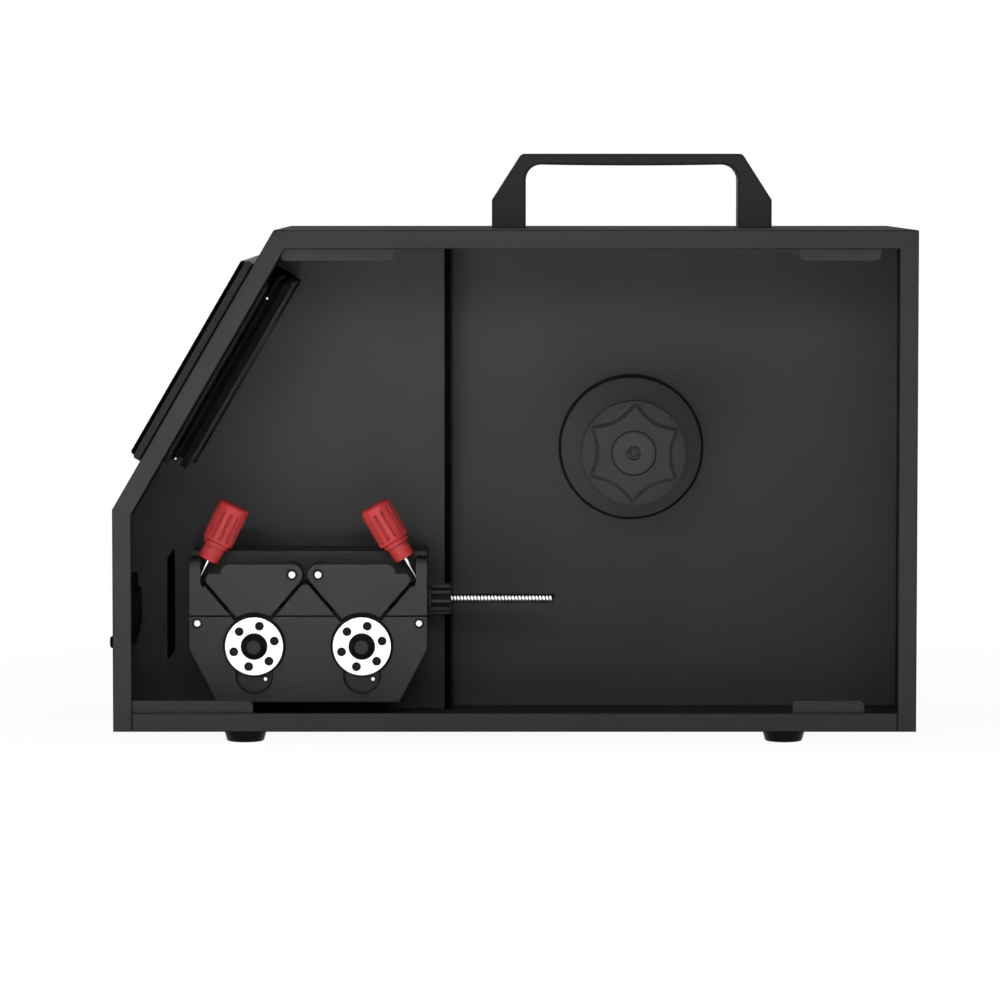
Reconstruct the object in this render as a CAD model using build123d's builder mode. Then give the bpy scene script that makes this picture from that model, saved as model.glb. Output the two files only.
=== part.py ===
"""Wire feeder unit of a handheld laser welder, with its side door off. Millimetres, Z up.

The origin is on the ground under the middle of the case. The open side faces -Y. Sketches on the
front planes use X and the height above the case bottom; depths are measured back from the front.
"""

import math
import os

from build123d import *

os.makedirs("parts", exist_ok=True)

# Clearances
fit = 0.05
clear = 0.3
over = 1.0

# Case of folded sheet
case_width = 516.0
case_depth = 244.0
case_height = 322.0
sheet = 1.5
bend = 1.2
flange_width = 12.0
lip_height = 9.0
slope_angle = 59.8
slope_foot = 143.0

# Feet and handle
foot_height = 8.0
foot_radius = 14.0
foot_tip_radius = 12.7
foot_spread = 348.0
foot_inset = 21.0
handle_x = 77.7
handle_width = 185.0
handle_shoulder = 19.5
handle_height = 49.0
handle_leg_rise = 18.5
handle_leg = 22.5
handle_bar = 7.0
handle_depth = 26.0
handle_bow = 0.8
handle_inner_radius = 10.0
handle_corner_radius = 4.0
handle_edge = 1.2

# Door tabs behind the front flange: left and right ends of each
tab_reach = 8.0
tab_radius = 4.0
top_tabs = ((-150.0, -76.8), (181.9, 234.3))
bottom_tabs = ((-256.0, -168.0), (178.7, 225.0))

# Divider panels
panel_sheet = 2.0
feeder_panel_depth = 119.0
spool_panel_depth = 137.0
panel_split = -43.5
trim_width = 4.2
trim_wall = 1.4
slot_x = -228.5
slot_width = 4.7
slot_bottom = 37.9
slot_top = 105.4
slot_slant = 5.6
slot_slant_low = 6.2

# Rear cover and its fittings
vent_length = 46.0
vent_width = 3.5
vent_pitch = 9.0
vent_rows = 8
vent_in = 108.0
vent_height = 210.0
fitting_height = 62.0
inlet_in = 82.0
inlet_width = 48.0
inlet_tall = 27.0
inlet_lip = 2.5
inlet_cavity_width = 24.5
inlet_cavity_tall = 17.0
inlet_body = 26.0
inlet_wall = 2.5
switch_in = 140.0
switch_width = 21.0
switch_tall = 30.0
switch_rim = 3.0
switch_lip = 1.5
switch_body = 22.0
rocker_thick = 7.0
rocker_tilt = 7.0
rocker_gap = 1.4
socket_in = 186.0
socket_flange_radius = 12.0
socket_radius = 9.5
socket_bore_radius = 7.5
socket_lip = 2.5
socket_body = 20.0
socket_pin_radius = 0.9
socket_pin_ring = 4.0
socket_pin = 3.5
socket_pins = 4

# Control panel on the slope
display_along = 107.6
display_length = 147.0
display_breadth = 200.0
bezel_thick = 5.6
bezel_edge = 1.2
glass_thick = 2.8
glass_margin = 1.6
gasket_thick = 0.8
gasket_width = 4.0
neck_length = 116.0
neck_breadth = 184.0
clamp_length = 136.6
clamp_breadth = 208.0
clamp_thick = 13.6
clamp_radius = 6.0
clamp_edge = 3.0
clamp_gap = 1.6
housing_shift = 5.8
rim_length = 135.5
rim_breadth = 200.0
rim_thick = 2.7
core_length = 128.0
core_breadth = 188.0
core_thick = 3.0
back_length = 138.0
back_breadth = 196.0
back_thick = 4.6
housing_corner = 1.5
notch_clear = 1.0

# Spool holder
hub_x = 78.1
hub_height = 175.6
hub_flange_radius = 48.5
hub_flange_thick = 7.0
hub_flange_edge = 2.5
hub_radius = 25.0
spool_width = 55.0
thread_radius = 20.0
thread_length = 9.0
core_radius = 14.3
axle_radius = 8.0
axle_base_radius = 22.0
axle_base_thick = 4.0
nut_radius = 34.3
nut_rim = 9.0
nut_face = 2.0
star_tip_radius = 32.6
star_waist_radius = 24.4
star_tip_fillet = 1.6
star_points = 6
brake_head_radius = 4.3
brake_socket_radius = 2.6
brake_socket = 3.0
core_sink = 0.8

# Wire feed: overall
feed_x = -134.7
feed_width = 155.6
feed_front = 54.0
feed_bottom = 13.1
feed_split = 69.9
feed_chamfer_x = 18.2
feed_chamfer_h = 35.0
feed_back_thick = 15.0
feed_wall = 5.0
cover_thick = 6.0
cover_gap = 0.6
ear_top = 106.0
ear_width = 7.6
ear_round = 6.0
rail_top = 110.6
rail_thick = 3.8
rail_depth = 78.0
rail_width = 154.4
wall_width = 143.8
wall_bottom = 79.6

# Wire feed: drive train
roll_spacing = 70.3
drive_height = 50.1
wire_height = 79.7
wire_depth = 70.0
wire_radius = 0.6
roll_width = 12.0
groove_depth = 0.8
roll_clear = 1.2
shaft_radius = 6.0
plate_radius = 18.9
plate_thick = 5.6
plate_proud = 4.0
plate_hole_radius = 2.9
plate_hole_ring = 13.7
plate_holes = 6
plate_turn = 15.0
cover_hole_gap = 1.3
roll_hub_radius = 17.0
cap_radius = 8.3
cap_top_radius = 4.4
cap_height = 7.0
recess_radius = 12.2
recess_drop = 19.3
recess_sink = 3.5
dowel_radius = 1.2
dowel_x = 7.1
dowel_drop = 22.0
screw_x = 72.4
screw_drop = 5.1
screw_radius = 2.6
screw_sink = 0.6
screw_hold = 9.0
gear_module = 1.25
gear_teeth = 38
pinion_teeth = 18
gear_backlash = 0.3
gear_width = 10.0
gear_back_gap = 2.0
pressure_angle = 20.0
pinion_shaft_radius = 5.0

# Wire feed: pressure arms
arm_pivot_left = 10.5
arm_pivot_right = 6.6
arm_pivot_height = 96.7
arm_end_radius = 7.0
arm_angle = 49.5
arm_gap = 2.1
arm_thick = 7.0
arm_corner_x = 67.4
arm_corner_height = 92.7
arm_ledge_x = 64.7
arm_ledge_height = 97.6
arm_shoulder_x = 57.2
arm_shoulder_radius = 6.0
arm_disc_radius = 21.7
arm_hub_radius = 6.4
arm_pin_radius = 3.0
arm_pin_proud = 0.6
arm_pin_hold = 16.0
apex_radius = 4.0
press_radius = 11.0
press_pin_radius = 3.0
press_pin_hold = 4.0

# Wire feed: tension bolts
bolt_left = 72.1
bolt_right = 71.5
bolt_height = 92.3
bolt_depth = 66.0
bolt_drop = 4.0
lean_left = 26.0
lean_right = 30.6
rod_radius = 1.5
rod_end = 44.0
eye_radius = 3.2
eye_width = 5.0
eye_pin_radius = 1.5
eye_pin_hold = 8.0
collar_start_left = 18.8
collar_start_right = 20.9
collar_radius = 7.1
collar_length = 10.0
ring_radius = 8.7
ring_length = 3.0
grip_radius = 10.5
grip_length = 27.2
grip_groove = 0.6
grip_grooves = 12
grip_groove_start = 2.5
grip_groove_length = 19.0
grip_crown = 2.0

# Wire guides
guide_radius = 2.5
guide_bore_radius = 1.2
guide_nip_gap = 12.0
connector_radius = 8.4
connector_rib_radius = 10.1
connector_rib = 1.9
connector_ribs = 10
connector_turn = 4.5
connector_length = 15.4
connector_collar = 1.9
connector_stub_radius = 5.5
connector_stub = 8.0
spring_wire = 1.6
spring_radius = 3.0
spring_pitch = 3.99
spring_turns = 16
spring_seat = 6.0

# Left wall: wire outlet and jog button
outlet_height = 73.2
outlet_size = 45.0
outlet_corner = 8.0
outlet_thick = 8.1
outlet_boss_radius = 15.1
outlet_boss = 2.9
outlet_collar_radius = 12.0
outlet_bore_radius = 4.0
outlet_mouth_radius = 9.0
jog_depth = 40.0
jog_height = 54.0
jog_radius = 3.9
jog_proud = 4.8
jog_edge = 0.8
jog_inside = 4.5
jog_travel = 1.5
jog_body = 7.0
jog_body_width = 14.0

# Rear chamber
gearbox_size = 52.0
gearbox_length = 42.0
gearbox_edge = 4.0
motor_radius = 23.0
motor_room = 6.5
motor_end_radius = 9.0
motor_end = 5.0
board_in = 86.0
board_height = 205.0
board_width = 130.0
board_tall = 92.0
board_thick = 1.6
board_standoff = 8.0
board_standoff_radius = 3.5
board_part_tall = 14.0
supply_in = 234.0
supply_width = 160.0
supply_tall = 46.0
supply_room = 21.2
supply_terminal = 16.0

# Places worked out from the sizes above
half_width = case_width / 2
front_y = -case_depth / 2
angle = math.radians(slope_angle)
feed_half = feed_width / 2
body_back = feeder_panel_depth - feed_back_thick
drive_radius = wire_height - wire_radius - drive_height
press_height = wire_height + wire_radius + press_radius
roll_front = wire_depth - roll_width / 2
roll_back = wire_depth + roll_width / 2
plate_front = feed_front - plate_proud
plate_back = plate_front + plate_thick
gear_pitch_radius = gear_module * gear_teeth / 2
pinion_pitch_radius = gear_module * pinion_teeth / 2
gear_back = body_back - gear_back_gap
gear_front = gear_back - gear_width
arm_back = feed_front + arm_thick
rise = math.radians(arm_angle)
rim_start = sheet + clamp_thick + clamp_gap
core_start = rim_start + rim_thick
back_start = core_start + core_thick
housing_reach = back_start + back_thick
hub_flange_back = spool_panel_depth - clear
hub_flange_front = hub_flange_back - hub_flange_thick
hub_front = hub_flange_front - spool_width - over
cover_front = case_depth - sheet
floor_half = half_width - sheet - clear
vent_x = half_width - vent_in
inlet_x = half_width - inlet_in
switch_x = half_width - switch_in
socket_x = half_width - socket_in
board_x = half_width - board_in
supply_x = half_width - supply_in
chamber_front = feeder_panel_depth + panel_sheet
motor_length = cover_front - motor_room - motor_end - gearbox_length - chamber_front
supply_front = spool_panel_depth + panel_sheet + clear
supply_depth = cover_front - supply_room - supply_front


def front_plane(depth):
    """Plane across the case at a depth behind its front, facing forwards."""
    return Plane(origin=(0, front_y + depth, foot_height), x_dir=(1, 0, 0), z_dir=(0, -1, 0))


def side_plane(x):
    """Plane along the case at x, facing right; its axes are depth and height."""
    return Plane(origin=(x, front_y, foot_height), x_dir=(0, 1, 0), z_dir=(1, 0, 0))


def level_plane(height):
    """Level plane at a height above the case bottom; its axes are X and depth."""
    return Plane(origin=(0, front_y, foot_height + height), x_dir=(1, 0, 0), z_dir=(0, 0, 1))


def case_outline(inset, bottom):
    """Corners of the case's cross-section, inset from its outer faces, from the bottom left round."""
    left = inset - half_width
    top = case_height - inset
    foot = slope_foot - inset * (math.cos(angle) - (1 - math.sin(angle)) * math.tan(angle))
    shoulder = left + (top - foot) / math.tan(angle)
    return [(left, bottom), (left, foot), (shoulder, top), (-left, top), (-left, bottom)]


def finish(piece, name):
    """Label a finished piece and write it."""
    shape = piece.part if isinstance(piece, BuildPart) else piece
    shape.label = name
    export_step(shape, f"parts/{name}.step")


slope_plane = Plane(
    origin=(
        display_along * math.cos(angle) - half_width,
        0,
        foot_height + slope_foot + display_along * math.sin(angle),
    ),
    x_dir=(math.cos(angle), 0, math.sin(angle)),
    z_dir=(-math.sin(angle), 0, math.cos(angle)),
)

# Case wrap: folded sheet with flanges at the front and, set in for the cover, at the rear
with BuildPart() as case_sheet:
    with BuildSketch(front_plane(0)):
        Polygon(*case_outline(0, 0), align=None)
    extrude(amount=-case_depth)
    corners = case_sheet.edges().filter_by(Axis.Y).sort_by(Axis.Z)[2:]
    fillet(corners, radius=bend)
    with BuildSketch(front_plane(sheet)):
        Polygon(*case_outline(sheet, -over), align=None)
    extrude(amount=-(cover_front - 2 * sheet), mode=Mode.SUBTRACT)
    with BuildSketch(front_plane(cover_front)):
        Polygon(*case_outline(sheet, -over), align=None)
    extrude(amount=-(sheet + over), mode=Mode.SUBTRACT)
    with BuildSketch(front_plane(-over)):
        Polygon(*case_outline(flange_width, -over), align=None)
    extrude(amount=-(case_depth + 2 * over), mode=Mode.SUBTRACT)
    # control panel cut-out in the slope
    with BuildSketch(slope_plane):
        Rectangle(neck_length + 2 * clear, neck_breadth + 2 * clear)
    extrude(amount=sheet + over, both=True, mode=Mode.SUBTRACT)
    # wire outlet and jog button holes in the left wall
    with BuildSketch(side_plane(-half_width)):
        with Locations((wire_depth, outlet_height)):
            Circle(outlet_collar_radius + clear)
        with Locations((jog_depth, jog_height)):
            Circle(jog_radius + clear)
    extrude(amount=sheet + over, both=True, mode=Mode.SUBTRACT)

# The wrap's four walls meet in mitred, welded corners
mitres = list(zip(case_outline(-over, -over), case_outline(flange_width + over, -over)))
walls = []
for first, second in zip(mitres, mitres[1:]):
    with BuildPart() as wall:
        add(case_sheet.part)
        with BuildSketch(front_plane(-over)):
            Polygon(first[0], second[0], second[1], first[1], align=None)
        extrude(amount=-(case_depth + 2 * over), mode=Mode.INTERSECT)
    walls.append(wall.part.solid())
finish(Compound(walls), "case_wrap")

# Base tray: floor with front and rear flanges between the wrap's flanges, and low side lips
with BuildPart() as base_tray:
    flange_half = half_width - flange_width - clear
    rear_flange = cover_front - sheet
    lip_end = feeder_panel_depth - clear
    with BuildSketch(level_plane(0)):
        with Locations((0, (rear_flange + sheet) / 2)):
            Rectangle(2 * floor_half, rear_flange - sheet - 2 * clear)
        with Locations((0, cover_front / 2)):
            Rectangle(2 * flange_half, cover_front)
    extrude(amount=sheet)
    for depth in (0, rear_flange):
        with BuildSketch(front_plane(depth)):
            with Locations((0, flange_width / 2)):
                Rectangle(2 * flange_half, flange_width)
        extrude(amount=-sheet)
    for lip in (-1, 1):
        with BuildSketch(level_plane(0)):
            with Locations((lip * (floor_half - sheet / 2), (flange_width + lip_end) / 2)):
                Rectangle(sheet, lip_end - flange_width)
        extrude(amount=lip_height)
finish(base_tray, "base_tray")

# Rear cover with vents and cut-outs for the inlet, the power switch and the control socket
with BuildPart() as rear_cover:
    with BuildSketch(front_plane(cover_front)):
        Polygon(*case_outline(sheet + clear, clear), align=None)
        with Locations((vent_x, vent_height), (feed_x, vent_height)):
            with GridLocations(0, vent_pitch, 1, vent_rows):
                Rectangle(vent_length, vent_width, mode=Mode.SUBTRACT)
        with Locations((inlet_x, fitting_height)):
            Rectangle(
                inlet_width - 4 * inlet_wall + 2 * clear,
                inlet_tall - 2 * inlet_wall + 2 * clear,
                mode=Mode.SUBTRACT,
            )
        with Locations((switch_x, fitting_height)):
            Rectangle(
                switch_width - switch_rim + 2 * clear,
                switch_tall - switch_rim + 2 * clear,
                mode=Mode.SUBTRACT,
            )
        with Locations((socket_x, fitting_height)):
            Circle(socket_radius + clear, mode=Mode.SUBTRACT)
    extrude(amount=-sheet)
finish(rear_cover, "rear_cover")

# Feeder panel, notched round the control panel, with a slanted cable slot
with BuildPart() as feeder_panel:
    inner = case_outline(sheet + clear, sheet)
    with BuildSketch(front_plane(feeder_panel_depth)):
        Polygon(*inner[:3], (panel_split, inner[2][1]), (panel_split, sheet), align=None)
        Polygon(
            (slot_x - slot_width / 2, slot_bottom - slot_slant_low / 2),
            (slot_x + slot_width / 2, slot_bottom + slot_slant_low / 2),
            (slot_x + slot_width / 2, slot_top + slot_slant / 2),
            (slot_x - slot_width / 2, slot_top - slot_slant / 2),
            align=None,
            mode=Mode.SUBTRACT,
        )
        with Locations((feed_x, drive_height)):
            Circle(pinion_shaft_radius + over, mode=Mode.SUBTRACT)
    extrude(amount=-panel_sheet)
    with BuildSketch(slope_plane):
        Rectangle(clamp_length + 2 * notch_clear, case_depth)
    extrude(amount=-(sheet + clamp_thick + notch_clear), mode=Mode.SUBTRACT)
    with BuildSketch(slope_plane):
        with Locations((housing_shift, 0)):
            Rectangle(back_length + 2 * notch_clear, case_depth)
    extrude(amount=-(housing_reach + notch_clear), mode=Mode.SUBTRACT)
finish(feeder_panel, "feeder_panel")

# Rubber trim on the feeder panel's right edge
with BuildPart() as edge_trim:
    with BuildSketch(level_plane(sheet)):
        with Locations((panel_split - trim_width / 2 + trim_wall, feeder_panel_depth + panel_sheet / 2)):
            Rectangle(trim_width, panel_sheet + 2 * trim_wall)
        with Locations((panel_split - trim_width / 2, feeder_panel_depth + panel_sheet / 2)):
            Rectangle(trim_width, panel_sheet, mode=Mode.SUBTRACT)
    extrude(amount=case_height - 2 * sheet - clear)
    chamfer(edge_trim.edges().filter_by(Axis.Z).group_by(Axis.Y)[0], length=trim_wall / 2)
finish(edge_trim, "edge_trim")

# Spool panel, folded forwards on the left to meet the trim
with BuildPart() as spool_panel:
    trim_back = feeder_panel_depth + panel_sheet + trim_wall
    panel_right = half_width - sheet - clear
    with BuildSketch(level_plane(sheet)):
        with Locations(((panel_split + panel_right) / 2, spool_panel_depth + panel_sheet / 2)):
            Rectangle(panel_right - panel_split, panel_sheet)
        with Locations((panel_split + panel_sheet / 2, (trim_back + spool_panel_depth) / 2)):
            Rectangle(panel_sheet, spool_panel_depth - trim_back)
    extrude(amount=case_height - 2 * sheet - clear)
    with BuildSketch(front_plane(spool_panel_depth)):
        with Locations((hub_x, hub_height)):
            Circle(axle_radius + fit)
    extrude(amount=-panel_sheet, mode=Mode.SUBTRACT)
finish(spool_panel, "spool_panel")

# Door tabs behind the front flange
with BuildPart() as door_tabs:
    tab_tall = flange_width - sheet + tab_reach
    for left, right in top_tabs:
        with BuildSketch(front_plane(sheet)) as tab:
            with Locations(((left + right) / 2, case_height - sheet - tab_tall / 2)):
                Rectangle(right - left, tab_tall)
            fillet(tab.vertices().group_by(Axis.Y)[0], radius=tab_radius)
        extrude(amount=-sheet)
    for left, right in bottom_tabs:
        with BuildSketch(front_plane(sheet)) as tab:
            with Locations(((left + right) / 2, sheet + tab_tall / 2)):
                Rectangle(right - left, tab_tall)
            fillet(tab.vertices().group_by(Axis.Y)[-1].sort_by(Axis.X)[-1], radius=tab_radius)
        extrude(amount=-sheet)
finish(door_tabs, "door_tabs")

# Feet: moulded rubber, tapered
with BuildPart() as feet:
    foot_top = Plane.XY.offset(foot_height)
    with BuildSketch(foot_top):
        with GridLocations(foot_spread, case_depth - 2 * foot_inset, 2, 2):
            Circle(foot_radius)
    extrude(
        amount=-foot_height,
        taper=math.degrees(math.atan((foot_radius - foot_tip_radius) / foot_height)),
    )
finish(feet, "feet")

# Carrying handle: a flat bow with slanted shoulders
with BuildPart() as handle:
    leg_half = handle_width / 2
    top_half = leg_half - handle_shoulder
    gap_half = leg_half - handle_leg
    bar_under = handle_height - handle_bar
    handle_foot = Plane(
        origin=(handle_x, -handle_depth / 2, foot_height + case_height), x_dir=(1, 0, 0), z_dir=(0, -1, 0)
    )
    with BuildSketch(handle_foot) as bow:
        with BuildLine():
            Polyline(
                (-gap_half, bar_under),
                (-gap_half, 0),
                (-leg_half, 0),
                (-leg_half, handle_leg_rise),
                (-top_half, handle_height),
                (top_half, handle_height),
                (leg_half, handle_leg_rise),
                (leg_half, 0),
                (gap_half, 0),
                (gap_half, bar_under),
            )
            ThreePointArc((gap_half, bar_under), (0, bar_under - handle_bow), (-gap_half, bar_under))
        make_face()
        under = bow.vertices().filter_by_position(Axis.Y, bar_under - over, bar_under + over)
        fillet(under, radius=handle_inner_radius)
        fillet(bow.vertices().group_by(Axis.Y)[-1], radius=handle_corner_radius)
    extrude(amount=-handle_depth)
    standing = handle.edges().group_by(Axis.Z)[0]
    rims = [edge for edge in handle.edges().filter_by(Axis.Y, reverse=True) if edge not in standing]
    chamfer(rims, length=handle_edge)
finish(handle, "handle")

# Control panel: gasket, bezel, glass, rear housing and clamp frame
outward = Axis(slope_plane.origin, slope_plane.z_dir)
with BuildPart() as display_gasket:
    with BuildSketch(slope_plane):
        Rectangle(neck_length + 2 * clear + 2 * gasket_width, neck_breadth + 2 * clear + 2 * gasket_width)
        Rectangle(neck_length + 2 * clear, neck_breadth + 2 * clear, mode=Mode.SUBTRACT)
    extrude(amount=gasket_thick)
finish(display_gasket, "display_gasket")

with BuildPart() as display_bezel:
    with BuildSketch(slope_plane.offset(gasket_thick)):
        Rectangle(display_length, display_breadth)
    extrude(amount=bezel_thick)
    chamfer(display_bezel.faces().sort_by(outward)[-1].edges(), length=bezel_edge)
finish(display_bezel, "display_bezel")

with BuildPart() as display_glass:
    with BuildSketch(slope_plane.offset(gasket_thick + bezel_thick)):
        Rectangle(display_length - 2 * glass_margin, display_breadth - 2 * glass_margin)
    extrude(amount=glass_thick)
    chamfer(display_glass.faces().sort_by(outward)[-1].edges(), length=bezel_edge)
finish(display_glass, "display_glass")

with BuildPart() as display_housing:
    with BuildSketch(slope_plane.offset(gasket_thick)):
        Rectangle(neck_length, neck_breadth)
    extrude(amount=-(gasket_thick + rim_start))
    layers = (
        (rim_start, rim_length, rim_breadth, rim_thick),
        (core_start, core_length, core_breadth, core_thick),
        (back_start, back_length, back_breadth, back_thick),
    )
    for start, length, breadth, thick in layers:
        with BuildSketch(slope_plane.offset(-start)):
            with Locations((housing_shift, 0)):
                Rectangle(length, breadth)
        extrude(amount=-thick)
    back_corners = display_housing.edges().filter_by(outward).group_by(outward)[0]
    chamfer(back_corners, length=housing_corner)
finish(display_housing, "display_housing")

with BuildPart() as display_clamp:
    with BuildSketch(slope_plane.offset(-sheet)):
        RectangleRounded(clamp_length, clamp_breadth, clamp_radius)
        Rectangle(neck_length + 2 * clear, neck_breadth + 2 * clear, mode=Mode.SUBTRACT)
    extrude(amount=-clamp_thick)
    inner_face = display_clamp.faces().sort_by(outward)[0]
    chamfer(inner_face.outer_wire().edges(), length=clamp_edge)
finish(display_clamp, "display_clamp")

# Spool holder: axle bolted through the panel, hub with flange, star nut and brake screw
with BuildPart() as spool_axle:
    with BuildSketch(front_plane(spool_panel_depth + panel_sheet)):
        with Locations((hub_x, hub_height)):
            Circle(axle_base_radius)
    extrude(amount=-axle_base_thick)
    with BuildSketch(front_plane(hub_front)):
        with Locations((hub_x, hub_height)):
            Circle(axle_radius)
    extrude(amount=-(spool_panel_depth + panel_sheet - hub_front))
finish(spool_axle, "spool_axle")

thread_front = hub_front - thread_length
nut_front = thread_front - nut_face
with BuildPart() as spool_hub:
    with BuildSketch(front_plane(hub_flange_front)):
        with Locations((hub_x, hub_height)):
            Circle(hub_flange_radius)
    extrude(amount=-hub_flange_thick)
    chamfer(spool_hub.edges().group_by(Axis.Y)[0], length=hub_flange_edge)
    with BuildSketch(front_plane(hub_front)):
        with Locations((hub_x, hub_height)):
            Circle(hub_radius)
    extrude(amount=-(hub_flange_front - hub_front))
    with BuildSketch(front_plane(thread_front)):
        with Locations((hub_x, hub_height)):
            Circle(thread_radius)
    extrude(amount=-thread_length)
    with BuildSketch(front_plane(nut_front + core_sink)):
        with Locations((hub_x, hub_height)):
            Circle(core_radius)
    extrude(amount=-(nut_face - core_sink))
    with BuildSketch(front_plane(hub_front)):
        with Locations((hub_x, hub_height)):
            Circle(axle_radius + fit)
    extrude(amount=-(hub_flange_back - hub_front), mode=Mode.SUBTRACT)
    with BuildSketch(front_plane(nut_front)):
        with Locations((hub_x, hub_height)):
            Circle(brake_head_radius + clear)
    extrude(amount=-(hub_front - nut_front), mode=Mode.SUBTRACT)
finish(spool_hub, "spool_hub")

with BuildPart() as spool_nut:
    nut_centre = Location((hub_x, hub_height))
    with BuildSketch(front_plane(thread_front)):
        with Locations(nut_centre):
            Circle(nut_radius)
            Circle(thread_radius + fit, mode=Mode.SUBTRACT)
    extrude(amount=-nut_rim)
    with BuildSketch(front_plane(nut_front)) as star:
        with BuildLine():
            for point in range(star_points):
                step = 2 * math.pi / star_points
                ends = [math.pi / 2 + step * (point + k) for k in (0, 0.5, 1)]
                reach = (star_tip_radius, star_waist_radius, star_tip_radius)
                ThreePointArc(
                    *(
                        (hub_x + r * math.cos(turn), hub_height + r * math.sin(turn))
                        for r, turn in zip(reach, ends)
                    )
                )
        make_face()
        fillet(star.vertices(), radius=star_tip_fillet)
        with Locations(nut_centre):
            Circle(core_radius + clear, mode=Mode.SUBTRACT)
    extrude(amount=-nut_face)
finish(spool_nut, "spool_nut")

with BuildPart() as brake_screw:
    with BuildSketch(front_plane(nut_front + core_sink)):
        with Locations((hub_x, hub_height)):
            Circle(brake_head_radius)
    extrude(amount=-(hub_front - nut_front - core_sink))
    with BuildSketch(front_plane(nut_front + core_sink)):
        with Locations((hub_x, hub_height)):
            RegularPolygon(brake_socket_radius, 6)
    extrude(amount=-brake_socket, mode=Mode.SUBTRACT)
finish(brake_screw, "brake_screw")


def feed_outline(x_inset, low, high):
    """Corners of the feed's lower outline with its slanted bottom corners, closed at a given height."""
    half = feed_half - x_inset
    slant = half - feed_chamfer_x
    knee = feed_bottom + feed_chamfer_h
    return [
        (feed_x - half, high),
        (feed_x - half, knee),
        (feed_x - slant, low),
        (feed_x + slant, low),
        (feed_x + half, knee),
        (feed_x + half, high),
    ]


sides = {
    "left": (-1, arm_pivot_left, bolt_left, math.radians(lean_left)),
    "right": (1, arm_pivot_right, bolt_right, math.radians(lean_right)),
}


def arm_edges(pivot_x, gap):
    """Points on an arm's two slanted edges, moved out by a gap: below its pivot and at its outer corner."""
    reach = arm_end_radius + gap
    near = (pivot_x - reach * math.sin(rise), arm_pivot_height - reach * math.cos(rise))
    far = (arm_corner_x + gap * math.sin(rise), arm_corner_height - gap * math.cos(rise))
    return near, far


def edge_x(point, height, inward):
    """Distance from the feed's middle where a slanted edge through a point passes a height."""
    run = (point[1] - height) / math.tan(rise)
    return point[0] - run if inward else point[0] + run


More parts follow.
